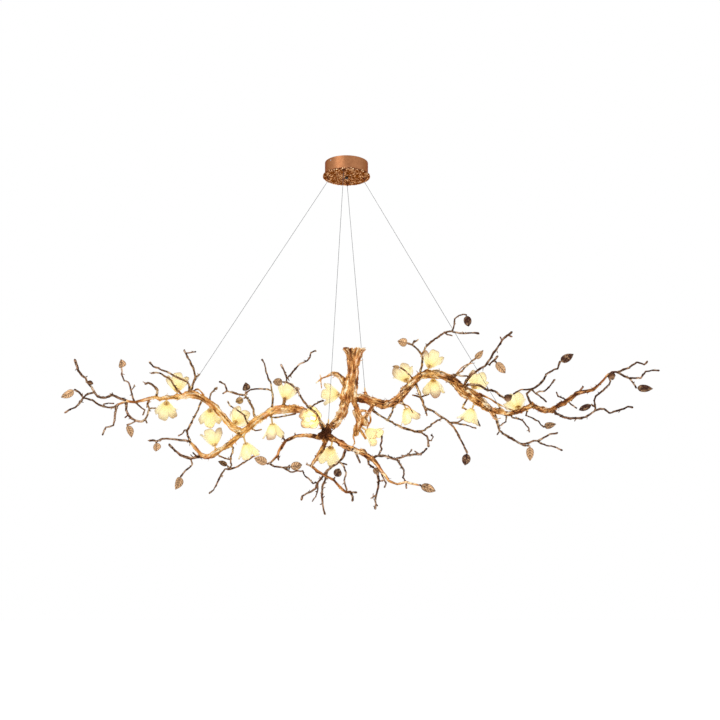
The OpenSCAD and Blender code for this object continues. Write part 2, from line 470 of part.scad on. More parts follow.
// ---- Lamps: [bough, point on it, way from there to the flower's middle] ---------------------------
lamps = [
    ["left", 19, [-6, 46, 28]], ["left", 20, [-8, -30, 42]], ["left", 14, [-6, -36, 44]],
    ["left_low", 4, [-14, 48, 14]], ["left", 11, [14, 32, 44]], ["left", 5, [14, 58, 18]],
    ["left", 6, [8, -64, 22]], ["left", 10, [16, -56, 22]], ["left", 1, [-16, 0, -50]],
    ["trunk", 1, [-58, 6, 24]], ["front_right", 1, [-12, -46, 42]], ["right_leg", 5, [46, -32, -14]],
    ["right", 10, [-14, 40, 32]], ["right", 13, [18, 46, 26]], ["right", 14, [2, -38, 38]],
    ["right", 8, [28, -58, 14]], ["right", 20, [26, 44, 44]], ["right", 21, [-20, -56, 10]],
    ["outer", 2, [-6, 26, 36]]];

// ---- Cables: [bough, anchor on its middle with the bough's radius, gripper's angle] ---------------
cables = [["left", [-533, 16, -2, 12], 176], ["right", [521, -39, -12, 10], 14],
    ["front", [-60, -100, -108, 12], 262], ["right", [66, 4, 12, 15.5], 88]];
anchor_stand = 7;   // the cast peg that carries a ferrule stands this far out of its bough

// ---- Shared forms -------------------------------------------------------------------------------

function girth(r) = r * bough_girth;

// A bough as a smooth tube, grown by a small amount where others are coped against it
module limb(line, grow, sides = 8, steps = 1) {
    path = smooth(placed(line), steps);
    sweep(path, [for (p = path) girth(p[3]) + grow], sides);
}

// A swelling where a bough bends or forks
module swell(a, b, more, grow) {
    p = spot(a);
    q = spot(b);
    hull() {
        translate(p) sphere(r = girth(a[3]) + more + grow, $fn = 6);
        translate(q) sphere(r = girth(b[3]) + more + grow, $fn = 6);
    }
}
module swells(line, places, more, grow) {
    for (i = places) swell(line[i], line[i] * 0.6 + line[i + 1] * 0.4, more, grow);
}

// A cast peg from a bough's middle to its flat end, which is square to the peg
module peg(from, to, foot, top, grow) {
    hull() sweep([from, to + unit(to - from) * grow], [foot + grow, top + grow], 6);
}

// Pegs that carry the lamp holders
function lamp_at(i) = spot(line_of(lamps[i][0])[lamps[i][1]]);
function lamp_aim(i) = let (a = lamps[i][2]) unit([a[0], a[2], a[1]]);
function lamp_thick(i) = girth(line_of(lamps[i][0])[lamps[i][1]][3]);
function peg_end(i) = lamp_at(i) + lamp_aim(i) * (lamp_thick(i) + peg_out);
module pegs(bough, grow) {
    for (i = [0 : len(lamps) - 1])
        if (lamps[i][0] == bough)
            peg(lamp_at(i), peg_end(i), 7, 5, grow);
}

// Pegs that carry the ferrules
function gripper_at(i) = let (a = cables[i][2]) gripper_r * [cos(a), sin(a)];
function nozzle(i) = let (g = gripper_at(i)) [g[0], g[1], nozzle_z - 3];
function anchor(i) = spot(cables[i][1]);
function anchor_aim(i) = unit(nozzle(i) - anchor(i));
function anchor_end(i) = anchor(i) + anchor_aim(i) * (girth(cables[i][1][3]) + anchor_stand);
module anchor_pegs(bough, grow) {
    for (i = [0 : len(cables) - 1])
        if (cables[i][0] == bough)
            peg(anchor(i), anchor_end(i), 6.5, 4.5, grow);
}

// ---- Bough forms --------------------------------------------------------------------------------

module trunk_form(grow = 0) {
    limb(trunk_line, grow, 12, 2);
    limb(left_leg, grow, 8, 2);
    limb(right_leg, grow, 8, 2);
    limb(stub_branch, grow, 6, 2);
    swell([50, -62, 0, 10], [62, -74, 2, 15], 0, grow);
    limb(right_strand, grow, 7);
    swell([8, 26, -4, 24], [4, 4, -4, 18], 0, grow);
    swell([-10, 4, -8, 12], [-16, 16, -10, 6], 0, grow);
    swell([-12, 66, -4, 11], [8, 36, 0, 14], 0, grow);
    swell([-82, 70, -14, 3], [-86, 83, -10, 2], 0, grow);
    swell([-82, 70, -14, 3], [-100, 56, -20, 1.8], 0, grow);
    swell([-84, 66, -14, 3], [-81, 39, -24, 1.8], 0, grow);
    pegs("trunk", grow);
    pegs("right_leg", grow);
}
module left_form(grow = 0) {
    limb(left_line, grow);
    swells(left_line, [10, 16], 1.2, grow);
    pegs("left", grow);
    anchor_pegs("left", grow);
}
module left_low_form(grow = 0) {
    limb(left_low_line, grow);
    pegs("left_low", grow);
}
module right_form(grow = 0) {
    limb(right_line, grow);
    swells(right_line, [8, 19, 21], 1.2, grow);
    swell(right_line[24], [492, -57, -12, 3.5], 0, grow);
    pegs("right", grow);
    anchor_pegs("right", grow);
}
module outer_form(grow = 0) {
    limb(outer_line, grow);
    swells(outer_line, [4, 8], 1, grow);
    pegs("outer", grow);
}
module front_form(grow = 0) {
    limb(front_left_line, grow, 7);
    limb(front_right_line, grow, 7);
    limb(front_down_line, grow, 7);
    swell(concat(knot, [15]), [-58, -104, -102, 13], 0, grow);
    swell(concat(knot, [15]), [-84, -122, -110, 11], 0, grow);
    swell(concat(knot, [15]), [-70, -128, -112, 11], 0, grow);
    swells(front_right_line, [6], 1, grow);
    pegs("front_right", grow);
    anchor_pegs("front", grow);
}

// ---- Twigs --------------------------------------------------------------------------------------

// A twig tapers from its foot, swells at its tip and closes past it
function twig_r(t, i) = twig_girth * (t[0] + (t[1] - t[0]) * i / (len(t[2]) - 1));
function tip_r(t) = 1.3 * twig_girth * t[1];
function tip_of(t) = spot(t[2][len(t[2]) - 1]);
module twig(t) {
    path = [for (p = t[2]) spot(p)];
    last = len(path) - 1;
    ahead = unit(path[last] - path[last - 1]);
    radii = [for (i = [0 : last - 1]) twig_r(t, i)];
    sweep(concat(path, [path[last] + ahead * 0.9 * tip_r(t)]),
        concat(radii, [tip_r(t), 0.45 * tip_r(t)]), 5);
}
module spray(twigs) {
    for (t = twigs) twig(t);
}

// ---- Leaves -------------------------------------------------------------------------------------

// A pointed leaf blade from base to tip, its middle sunk and its length bowed
leaf_rows = [[0, 0.06], [0.22, 0.4], [0.5, 0.5], [0.78, 0.28], [1, 0.03]];
module blade(base, reach, width) {
    along = unit(reach);
    side = unit(cross(along, [0.25, 1, 0.1]));
    face = cross(side, along);
    bow = 0.1 * norm(reach);
    rows = [for (r = leaf_rows) for (s = [-1, 0, 1])
        base + reach * r[0] + side * (s * width * r[1])
            + face * (bow * sin(180 * r[0]) + abs(s) * width * r[1] * 0.25)];
    count = len(rows);
    points = concat([for (p = rows) p + face * leaf_t / 2], [for (p = rows) p - face * leaf_t / 2]);
    last = len(leaf_rows) - 1;
    top = [for (i = [0 : last - 1], k = [0, 1]) let (a = i * 3 + k)
        each [[a, a + 3, a + 1], [a + 1, a + 3, a + 4]]];
    under = [for (f = top) [f[0] + count, f[2] + count, f[1] + count]];
    rim = concat([for (i = [0 : last]) i * 3], [last * 3 + 1], [for (i = [last : -1 : 0]) i * 3 + 2], [1]);
    edge = [for (i = [0 : len(rim) - 1]) let (a = rim[i], b = rim[(i + 1) % len(rim)])
        each [[a, a + count, b], [b, a + count, b + count]]];
    polyhedron(points, concat(top, under, edge));
}
module leaves(sprays) {
    color(leaf_copper)
        for (twigs = sprays, t = twigs)
            if (len(t) > 3) {
                reach = span * [t[3][0], t[3][2], t[3][1]];
                blade(tip_of(t) + unit(reach) * (tip_r(t) + fit_gap), reach, t[4]);
            }
}

// ---- Boughs and sprays as built: each foot is coped to what carries it -----------------------------

module trunk() {
    rim = spot(trunk_line[len(trunk_line) - 1]);
    color(bark)
        difference() {
            union() {
                trunk_form();
                for (k = [0 : 8])
                    hull() {
                        translate(rim + [29 * cos(k * 40), 29 * sin(k * 40), -2]) sphere(r = 4, $fn = 6);
                        translate(rim + [24 * cos(k * 40), 24 * sin(k * 40), -24]) sphere(r = 4, $fn = 6);
                    }
            }
            translate(rim + [0, 0, -trunk_hollow]) cylinder(r1 = 15, r2 = 26, h = trunk_hollow + 12, $fn = 24);
            translate(rim + [0, 0, -trunk_hollow - 26]) cylinder(d = bush_d + 2 * seat_gap, h = 30, $fn = 24);
        }
}
module bough_front() {
    color(dark_bark)
        difference() {
            front_form();
            trunk_form(braze_gap);
        }
}
module bough_left() {
    color(bark)
        difference() {
            left_form();
            front_form(braze_gap);
            trunk_form(braze_gap);
        }
}
module bough_left_low() {
    color(bark)
        difference() {
            left_low_form();
            left_form(braze_gap);
        }
}
module bough_right() {
    color(bark)
        difference() {
            right_form();
            trunk_form(braze_gap);
        }
}
module bough_right_outer() {
    color(bark)
        difference() {
            outer_form();
            right_form(braze_gap);
        }
}
module twigs_far_left() {
    color(dark_bark)
        difference() {
            spray(far_left);
            left_form(braze_gap);
        }
}
module twigs_left_top() {
    color(bark)
        difference() {
            spray(left_top);
            left_form(braze_gap);
        }
}
module twigs_left_low() {
    color(dark_bark)
        difference() {
            spray(left_low);
            left_form(braze_gap);
            left_low_form(braze_gap);
        }
}
module twigs_front_left() {
    color(dark_bark)
        difference() {
            spray(front_left);
            front_form(braze_gap);
            left_form(braze_gap);
            trunk_form(braze_gap);
        }
}
module twigs_front_right() {
    color(dark_bark)
        difference() {
            spray(front_right);
            front_form(braze_gap);
        }
}
module twigs_front_low() {
    color(dark_bark)
        difference() {
            spray(front_low);
            front_form(braze_gap);
        }
}
module twigs_right_top() {
    color(bark)
        difference() {
            spray(right_top);
            right_form(braze_gap);
        }
}
module twigs_right_low() {
    color(bark)
        difference() {
            spray(right_low);
            right_form(braze_gap);
            outer_form(braze_gap);
            trunk_form(braze_gap);
        }
}
module twigs_far_right() {
    color(dark_bark)
        difference() {
            spray(far_right);
            outer_form(braze_gap);
            right_form(braze_gap);
        }
}

// ---- Canopy -------------------------------------------------------------------------------------

module gripper_places() {
    for (i = [0 : len(cables) - 1]) translate(gripper_at(i)) children();
}
module canopy_holes(z, h) {
    translate([0, 0, z]) {
        gripper_places() cylinder(d = barrel_d + 2 * fit_gap, h = h);
        cylinder(d = bush_d + 2 * fit_gap, h = h);
    }
}
module ceiling_bracket() {
    lug_r = inner_r - seat_gap - bracket_t;
    color(steel)
        difference() {
            union() {
                translate([0, 0, -bracket_t]) cylinder(d = bracket_d, h = bracket_t);
                for (a = lug_angles) rotate([0, 0, a]) {
                    translate([bracket_d / 2 - 6, -lug_w / 2, -bracket_t])
                        cube([lug_r + bracket_t - bracket_d / 2 + 5, lug_w, bracket_t]);
                    translate([lug_r - 1, -lug_w / 2, -bracket_t - lug_l])
                        cube([bracket_t, lug_w, lug_l + bracket_t]);
                }
            }
            translate([0, 0, -bracket_t - 1]) cylinder(d = mains_hole_d, h = bracket_t + 2);
            for (s = [-1, 1])
                translate([s * bracket_hole_gap / 2, 0, -bracket_t - 1])
                    cylinder(d = bracket_hole_d, h = bracket_t + 2);
            for (a = lug_angles) rotate([0, 0, a])
                translate([lug_r - 3, 0, screw_z]) rotate([0, 90, 0])
                    cylinder(d = set_screw_d + 2 * fit_gap, h = 8);
        }
}
module canopy_cup() {
    color(copper)
        difference() {
            translate([0, 0, -cup_h]) cylinder(d = cup_d, h = cup_h, $fn = 96);
            translate([0, 0, -cup_h + cup_floor]) cylinder(d = cup_d - 2 * cup_wall, h = cup_h, $fn = 96);
            canopy_holes(-cup_h - 1, cup_floor + 2);
            for (a = lug_angles) rotate([0, 0, a])
                translate([inner_r - 3, 0, screw_z]) rotate([0, 90, 0])
                    cylinder(d = set_screw_d + 2 * fit_gap, h = 8);
        }
}
module canopy_plate() {
    r = cup_d / 2 + plate_lip;
    q = plate_round;
    color(copper)
        difference() {
            rotate_extrude($fn = 96)
                polygon(concat([[0, plate_z], [0, -cup_h]],
                    [for (a = [90 : -15 : 0]) [r - q + q * cos(a), -cup_h - q + q * sin(a)]],
                    [for (a = [0 : -15 : -90]) [r - q + q * cos(a), plate_z + q + q * sin(a)]]));
            canopy_holes(plate_z - 1, plate_t + 2);
        }
}
module canopy_screws() {
    color(steel)
        for (a = lug_angles) rotate([0, 0, a])
            translate([inner_r - 4.5, 0, screw_z]) rotate([0, 90, 0])
                cylinder(d = set_screw_d, h = 6);
}
module lamp_driver() {
    color("white")
        translate([-driver_l / 2, driver_y - driver_w / 2, -bracket_t - driver_h])
            cube([driver_l, driver_w, driver_h]);
}
module terminal_block() {
    color("ivory")
        difference() {
            translate([-terminal_l / 2, terminal_y - 7, -bracket_t - terminal_h])
                cube([terminal_l, 14, terminal_h]);
            for (x = [-1, 0, 1])
                translate([x * terminal_l * 0.3, terminal_y - 8, -bracket_t - terminal_h * 0.5])
                    rotate([-90, 0, 0]) cylinder(d = 4, h = 16);
        }
}

// A bush with a flange on top, its bore along Z
module bush(l) {
    difference() {
        union() {
            cylinder(d = bush_flange_d, h = bush_flange_t);
            translate([0, 0, -l]) cylinder(d = bush_d, h = l);
        }
        translate([0, 0, -l - 1]) cylinder(d = bush_bore_d, h = l + bush_flange_t + 2);
    }
}
module cord_bushes() {
    rim = spot(trunk_line[len(trunk_line) - 1]);
    color("dimgray") {
        translate([0, 0, -cup_h + cup_floor]) bush(cup_floor + plate_t + 3);
        translate(rim + [0, 0, -trunk_hollow]) bush(14);
    }
}

// ---- Cable grippers -----------------------------------------------------------------------------

module gripper_barrels() {
    color(brass)
        gripper_places() translate([0, 0, plate_z])
            difference() {
                union() {
                    translate([0, 0, -gripper_head]) cylinder(d = gripper_head_d, h = gripper_head);
                    cylinder(d = barrel_d, h = barrel_h);
                }
                translate([0, 0, -gripper_head - 1]) cylinder(d = guide_d, h = shoulder + gripper_head + 2);
                translate([0, 0, shoulder]) cylinder(d = chamber_d, h = spring_top - shoulder);
                cylinder(d = cable_bore_d, h = barrel_h + 1);
            }
}
module gripper_nuts() {
    color(brass)
        gripper_places() translate([0, 0, -cup_h + cup_floor])
            difference() {
                cylinder(d = nut_d, h = nut_h, $fn = 6);
                translate([0, 0, -1]) cylinder(d = barrel_d + 2 * fit_gap, h = nut_h + 2);
            }
}
module plunger(i) {
    color(steel)
        translate(gripper_at(i)) translate([0, 0, plate_z])
            difference() {
                union() {
                    translate([0, 0, -gripper_head - plunger_out])
                        cylinder(d = plunger_d, h = gripper_head + plunger_out + shoulder + fit_gap);
                    translate([0, 0, shoulder + fit_gap])
                        cylinder(d = chamber_d - 2 * fit_gap, h = collar_h);
                }
                translate([0, 0, -gripper_head - plunger_out - 1])
                    cylinder(d = cable_bore_d, h = gripper_head + plunger_out + shoulder + collar_h + 2);
            }
}
module spring(i) {
    foot = shoulder + 2 * fit_gap + collar_h;
    color(steel)
        translate(gripper_at(i)) translate([0, 0, plate_z + foot])
            difference() {
                cylinder(d = chamber_d - 2 * fit_gap, h = spring_top - fit_gap - foot);
                translate([0, 0, -1]) cylinder(d = chamber_d - 1.6, h = spring_top);
            }
}

// A cable hangs straight through its gripper, bends at the nozzle and runs taut to its ferrule
module cable(i) {
    g = gripper_at(i);
    low = anchor_end(i) + anchor_aim(i) * 4;
    color(steel)
        sweep([[g[0], g[1], plate_z + barrel_h + 6], [g[0], g[1], nozzle_z - 0.5],
            nozzle(i) + anchor_aim(i) * -1, low], [for (k = [0 : 3]) cable_d / 2], 8);
}
module cable_left() { cable(0); }
module cable_right() { cable(1); }
module cable_front() { cable(2); }
module cable_back() { cable(3); }

// Turns a piece that is drawn along +Z to lie along the unit vector v
module along(v) {
    rotate([0, acos(v[2]), atan2(v[1], v[0])]) children();
}
module cable_ferrules() {
    color(steel)
        for (i = [0 : len(cables) - 1])
            translate(anchor_end(i)) along(anchor_aim(i)) translate([0, 0, fit_gap])
                difference() {
                    union() {
                        cylinder(d = ferrule_d, h = ferrule_l * 0.7);
                        translate([0, 0, ferrule_l * 0.7])
                            cylinder(d1 = ferrule_d, d2 = ferrule_d * 0.6, h = ferrule_l * 0.3);
                    }
                    translate([0, 0, 3]) cylinder(d = cable_d + 2 * fit_gap, h = ferrule_l);
                }
}

// ---- Lamps --------------------------------------------------------------------------------------

function stem_l(i) = max(1, span * norm(lamps[i][2]) - lamp_thick(i) - peg_out - flange_h - flower_h / 2);
module at_lamp(i) {
    translate(peg_end(i)) along(lamp_aim(i)) children();
}
module lamp_holders() {
    color(brass)
        for (i = [0 : len(lamps) - 1])
            at_lamp(i) {
                translate([0, 0, fit_gap]) cylinder(d = 6, h = stem_l(i));
                translate([0, 0, stem_l(i)])
                    difference() {
                        union() {
                            cylinder(d = flange_d, h = flange_h);
                            cylinder(d = holder_d, h = flange_h + holder_up);
                        }
                        translate([0, 0, flange_h + holder_up - socket_deep])
                            cylinder(d = bulb_d + 2 * fit_gap, h = socket_deep + 1);
                    }
            }
}
module capsule_lamps() {
    color(lamp_glass)
        for (i = [0 : len(lamps) - 1])
            at_lamp(i) translate([0, 0, stem_l(i) + flange_h + holder_up - socket_deep]) {
                cylinder(d = bulb_d, h = bulb_l - bulb_d / 2);
                translate([0, 0, bulb_l - bulb_d / 2]) sphere(d = bulb_d);
            }
}

// The glass is a lobed cup: rows rise from the base ring to the rim, and the rim dips between petals
columns = 4;              // per petal
rows = 3;
function flare(t) = pow(t, 0.75);
function rise(t) = pow(t, 1.1);
function lobe(c) = abs(2 * (c % columns) / columns - 1);
function cup_point(row, col, inner) =
    let (dip = 0.38 * pow(lobe(col), 2) * pow(row / rows, 0.5),
        t = row / rows * (1 - dip),
        wide = flower_d / 2 - (inner ? glass_t : 0),
        base = holder_d / 2 + seat_gap + (inner ? 0 : glass_t),
        r = base + (wide - base) * flare(t) * (1 - 0.06 * pow(lobe(col), 2)),
        a = 360 * col / (petals * columns))
    [r * cos(a), r * sin(a), flower_h * rise(t) + (inner ? glass_t * 0.4 * row / rows : 0)];
module glass_flower(i) {
    n = petals * columns;
    points = concat(
        [for (row = [0 : rows], col = [0 : n - 1]) cup_point(row, col, false)],
        [for (row = [rows : -1 : 0], col = [0 : n - 1]) cup_point(row, col, true)]);
    rings = 2 * (rows + 1);
    faces = [for (j = [0 : rings - 1], k = [0 : n - 1])
        let (a = j * n + k, b = j * n + (k + 1) % n, up = (j + 1) % rings,
            c = up * n + k, d = up * n + (k + 1) % n)
        each [[a, c, b], [b, c, d]]];
    color(amber_glass)
        at_lamp(i) translate([0, 0, stem_l(i) + flange_h + fit_gap]) rotate([0, 0, 53 * i])
            polyhedron(points, faces);
}

ceiling_bracket();
canopy_cup();
canopy_plate();
canopy_screws();
lamp_driver();
terminal_block();
cord_bushes();
gripper_barrels();
gripper_nuts();
plunger(0);  // plunger_left
plunger(1);  // plunger_right
plunger(2);  // plunger_front
plunger(3);  // plunger_back
spring(0);  // spring_left
spring(1);  // spring_right
spring(2);  // spring_front
spring(3);  // spring_back
cable(0);  // cable_left
cable(1);  // cable_right
cable(2);  // cable_front
cable(3);  // cable_back
cable_ferrules();
trunk();
bough_left();
bough_left_low();
bough_right();
bough_right_outer();
bough_front();
twigs_far_left();
twigs_left_top();
twigs_left_low();
twigs_front_left();
twigs_front_right();
twigs_front_low();
twigs_right_top();
twigs_right_low();
twigs_far_right();
leaves(left_sprays);  // leaves_left
leaves(right_sprays);  // leaves_right
lamp_holders();
capsule_lamps();
glass_flower(0);  // glass_flower_01
glass_flower(1);  // glass_flower_02
glass_flower(2);  // glass_flower_03
glass_flower(3);  // glass_flower_04
glass_flower(4);  // glass_flower_05
glass_flower(5);  // glass_flower_06
glass_flower(6);  // glass_flower_07
glass_flower(7);  // glass_flower_08
glass_flower(8);  // glass_flower_09
glass_flower(9);  // glass_flower_10
glass_flower(10);  // glass_flower_11
glass_flower(11);  // glass_flower_12
glass_flower(12);  // glass_flower_13
glass_flower(13);  // glass_flower_14
glass_flower(14);  // glass_flower_15
glass_flower(15);  // glass_flower_16
glass_flower(16);  // glass_flower_17
glass_flower(17);  // glass_flower_18
glass_flower(18);  // glass_flower_19
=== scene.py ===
"""Branch chandelier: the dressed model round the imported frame."""
import math

import bpy
import numpy as np
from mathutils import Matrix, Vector
from mathutils.bvhtree import BVHTree
from mathutils.kdtree import KDTree


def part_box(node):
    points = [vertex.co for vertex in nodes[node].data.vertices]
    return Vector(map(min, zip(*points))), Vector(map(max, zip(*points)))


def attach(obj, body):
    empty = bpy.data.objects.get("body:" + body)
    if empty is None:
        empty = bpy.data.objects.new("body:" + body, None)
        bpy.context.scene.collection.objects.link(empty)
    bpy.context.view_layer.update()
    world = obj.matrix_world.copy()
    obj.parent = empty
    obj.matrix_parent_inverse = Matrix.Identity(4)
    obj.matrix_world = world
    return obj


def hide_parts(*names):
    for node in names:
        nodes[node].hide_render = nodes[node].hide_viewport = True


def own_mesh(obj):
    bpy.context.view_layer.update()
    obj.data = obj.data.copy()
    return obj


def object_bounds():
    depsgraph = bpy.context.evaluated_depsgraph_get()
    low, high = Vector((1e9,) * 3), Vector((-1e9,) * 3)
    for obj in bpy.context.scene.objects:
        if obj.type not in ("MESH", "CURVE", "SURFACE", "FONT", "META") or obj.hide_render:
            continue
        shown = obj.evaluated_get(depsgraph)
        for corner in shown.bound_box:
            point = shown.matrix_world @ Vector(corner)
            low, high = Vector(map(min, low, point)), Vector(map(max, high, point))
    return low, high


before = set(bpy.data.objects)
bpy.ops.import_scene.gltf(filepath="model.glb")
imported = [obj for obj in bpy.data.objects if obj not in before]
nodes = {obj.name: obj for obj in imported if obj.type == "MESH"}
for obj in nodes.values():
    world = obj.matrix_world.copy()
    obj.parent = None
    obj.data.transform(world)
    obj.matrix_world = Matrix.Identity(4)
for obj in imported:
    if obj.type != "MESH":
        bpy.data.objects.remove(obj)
cad_bounds = [list(corner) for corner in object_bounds()]

MM = 0.001
BODY = "chandelier"
SIDES = ("left", "right", "front", "back")  # of the canopy, each with a gripper, spring and cable
FINE = 1.0


def placed(name, data):
    """A new object in the scene."""
    thing = bpy.data.objects.new(name, data)
    bpy.context.scene.collection.objects.link(thing)
    return thing


# ---- Camera ----
CAMERA_AT = (0.047, -3.0, -1.19)
CAMERA_PITCH = 9.4  # degrees above level
FOCAL_PIXELS = 906  # of a frame 720 pixels wide
FRAME_PIXELS = 720
SENSOR = 36.0

camera_data = bpy.data.cameras.new("camera")
camera_data.sensor_width = SENSOR
camera_data.lens = FOCAL_PIXELS / FRAME_PIXELS * SENSOR
camera_data.clip_start = 0.05
camera_data.clip_end = 60
camera = placed("camera", camera_data)
camera.location = CAMERA_AT
camera.rotation_euler = (math.radians(90 + CAMERA_PITCH), 0, 0)
bpy.context.scene.camera = camera

TILT_COS, TILT_SIN = math.cos(math.radians(CAMERA_PITCH)), math.sin(math.radians(CAMERA_PITCH))


def pixels_of(points):
    """Where the camera sees the points, in the photograph's pixels."""
    away = np.atleast_2d(points) - np.array(CAMERA_AT)
    ahead = away[:, 1] * TILT_COS + away[:, 2] * TILT_SIN
    above = away[:, 2] * TILT_COS - away[:, 1] * TILT_SIN
    x = FRAME_PIXELS / 2 + FOCAL_PIXELS * away[:, 0] / ahead
    y = FRAME_PIXELS / 2 - FOCAL_PIXELS * above / ahead
    return np.stack([x, y], 1)


def at_pixel(points, x, y, share):
    """The middle of the share of points that show closest to a pixel."""
    near = np.argsort(np.linalg.norm(pixels_of(points) - [x, y], axis=1))[:share]
    return points[near].mean(0)


def behind_pixel(x, y, depth):
    """The point that the camera sees at a pixel, in the upright plane at a depth."""
    across = (x - FRAME_PIXELS / 2) / FOCAL_PIXELS
    above = (FRAME_PIXELS / 2 - y) / FOCAL_PIXELS
    way = np.array([across, TILT_COS - above * TILT_SIN, TILT_SIN + above * TILT_COS])
    return np.array(CAMERA_AT) + way * (depth - CAMERA_AT[1]) / way[1]


# ---- Noise ----
LATTICE_SIZE = 64
LATTICE = np.random.default_rng(11).random((LATTICE_SIZE,) * 3)
JITTER = np.random.default_rng(12).random((LATTICE_SIZE,) * 3 + (3,))


def noise(points, scale, shift=0.0):
    """Smooth value noise from 0 to 1 at points, with features scale across."""
    q = points / scale + shift
    base = np.floor(q).astype(int)
    f = q - base
    f = f * f * (3 - 2 * f)
    total = np.zeros(points.shape[:-1])
    for step in np.ndindex(2, 2, 2):
        weight = np.prod(np.where(step, f, 1 - f), axis=-1)
        i = (base + step) % LATTICE_SIZE
        total += weight * LATTICE[i[..., 0], i[..., 1], i[..., 2]]
    return total


def cells(points, scale):
    """Distances from points to their nearest and second nearest cell middles, in cells."""
    q = points / scale
    base = np.floor(q).astype(int)
    first = second = np.full(len(points), np.inf)
    for step in np.ndindex(3, 3, 3):
        at = base + step - 1
        i = at % LATTICE_SIZE
        middle = at + JITTER[i[:, 0], i[:, 1], i[:, 2]]
        d = np.linalg.norm(middle - q, axis=1)
        second = np.minimum(second, np.maximum(first, d))
        first = np.minimum(first, d)
    return first, second


def settled(values):
    """The same values with mean 0 and spread 1."""
    return (values - values.mean()) / (values.std() + 1e-9)


# ---- Meshes ----
def numbers_of(things, key, columns, kind):
    """One property of all a mesh's things, a row for each."""
    found = np.empty(len(things) * columns, kind)
    things.foreach_get(key, found)
    return found.reshape(-1, columns)


def points_of(mesh):
    return numbers_of(mesh.vertices, "co", 3, float)


def normals_of(mesh):
    return numbers_of(mesh.vertex_normals, "vector", 3, np.float32).astype(float)


def edges_of(mesh):
    return numbers_of(mesh.edges, "vertices", 2, np.int32)


def put_points(mesh, co):
    mesh.vertices.foreach_set("co", co.astype(np.float32).ravel())
    mesh.update()


def keep_value(mesh, name, values):
    a = mesh.attributes.new(name, "FLOAT", "POINT")
    a.data.foreach_set("value", values.astype(np.float32))


def relax(values, edges, rounds, back=0.0):
    """Evens values out along the edges. A back share undoes the shrinking."""
    values = values.reshape(len(values), -1).copy()
    count = len(values)
    degree = np.maximum(np.bincount(edges.ravel(), minlength=count), 1)[:, None]
    for _ in range(rounds):
        for share in (0.5, -back) if back else (0.5,):
            total = np.stack(
                [
                    np.bincount(edges[:, 0], values[edges[:, 1], k], count)
                    + np.bincount(edges[:, 1], values[edges[:, 0], k], count)
                    for k in range(values.shape[1])
                ],
                1,
            )
            values += share * (total / degree - values)
    return values


def shown(mesh, name, material, replaced=()):
    """Makes a piece of the mesh, that rides on the chandelier and stands for CAD nodes."""
    piece = placed(name, mesh)
    mesh.materials.clear()
    mesh.materials.append(material)
    mesh.polygons.foreach_set("use_smooth", [True] * len(mesh.polygons))
    mesh.update()
    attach(piece, BODY)
    if replaced:
        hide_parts(*replaced)
    return piece


def plain_mesh(name, verts, faces):
    mesh = bpy.data.meshes.new(name)
    mesh.from_pydata([tuple(v) for v in verts], [], [tuple(f) for f in faces])
    mesh.update()
    return mesh


def joined(parts):
    """The points and faces of several solids as one list of each."""
    faces = []
    start = 0
    for verts, own in parts:
        faces += [tuple(start + i for i in f) for f in own]
        start += len(verts)
    return np.concatenate([verts for verts, _ in parts]), faces


CRUMB = 0.004  # bits with a smaller share of a remeshed piece's points are dropped


def remeshed(node, voxel, extra=()):
    """An even, closed quad mesh over a CAD node's surface, fused with extra (points, faces) solids."""
    source = nodes[node].data
    own = (points_of(source), [tuple(p.vertices) for p in source.polygons])
    rough = plain_mesh("rough", *joined([own, *extra]))
    copy = placed("remeshing", rough)
    remesh = copy.modifiers.new("voxels", "REMESH")
    remesh.mode = "VOXEL"
    remesh.voxel_size = voxel
    remesh.adaptivity = 0
    ready = copy.evaluated_get(bpy.context.evaluated_depsgraph_get())
    mesh = bpy.data.meshes.new_from_object(ready)
    bpy.data.objects.remove(copy)
    bpy.data.meshes.remove(rough)
    group = grouped(edges_of(mesh), len(mesh.vertices))
    size = np.bincount(group, minlength=len(group))
    kept = size[group] > CRUMB * len(group)
    if kept.all():
        return mesh
    order = np.cumsum(kept) - 1
    faces = [tuple(order[i] for i in p.vertices) for p in mesh.polygons if kept[p.vertices[0]]]
    clean = plain_mesh("even", points_of(mesh)[kept], faces)
    bpy.data.meshes.remove(mesh)
    return clean


def grouped(edges, count):
    """For each point, the lowest number in the connected piece that holds it."""
    group = np.arange(count)
    while True:
        lower = group.copy()
        np.minimum.at(lower, edges[:, 0], group[edges[:, 1]])
        np.minimum.at(lower, edges[:, 1], group[edges[:, 0]])
        lower = lower[lower]
        if (lower == group).all():
            return group
        group = lower


def tube(path, radii, around=8, spare=(0.3, 0.5, 0.81)):
    """A closed tube along a path, with a radius for each of its rings or for each point of them."""
    tangent = np.gradient(path, axis=0)
    tangent /= np.linalg.norm(tangent, axis=1)[:, None] + 1e-12
    side_a = np.cross(tangent, spare)
    side_a /= np.linalg.norm(side_a, axis=1)[:, None] + 1e-12
    side_b = np.cross(tangent, side_a)
    a = 2 * math.pi * np.arange(around) / around
    ring = side_a[:, None] * np.cos(a)[None, :, None] + side_b[:, None] * np.sin(a)[None, :, None]
    verts = (path[:, None] + ring * np.reshape(radii, (len(path), -1, 1))).reshape(-1, 3)
    faces = []
    for i in range(len(path) - 1):
        for k in range(around):
            p, q = i * around + k, i * around + (k + 1) % around
            faces.append((p, q, q + around, p + around))
    faces.append(tuple(range(around - 1, -1, -1)))
    faces.append(tuple(range(len(verts) - around, len(verts))))
    return verts, faces


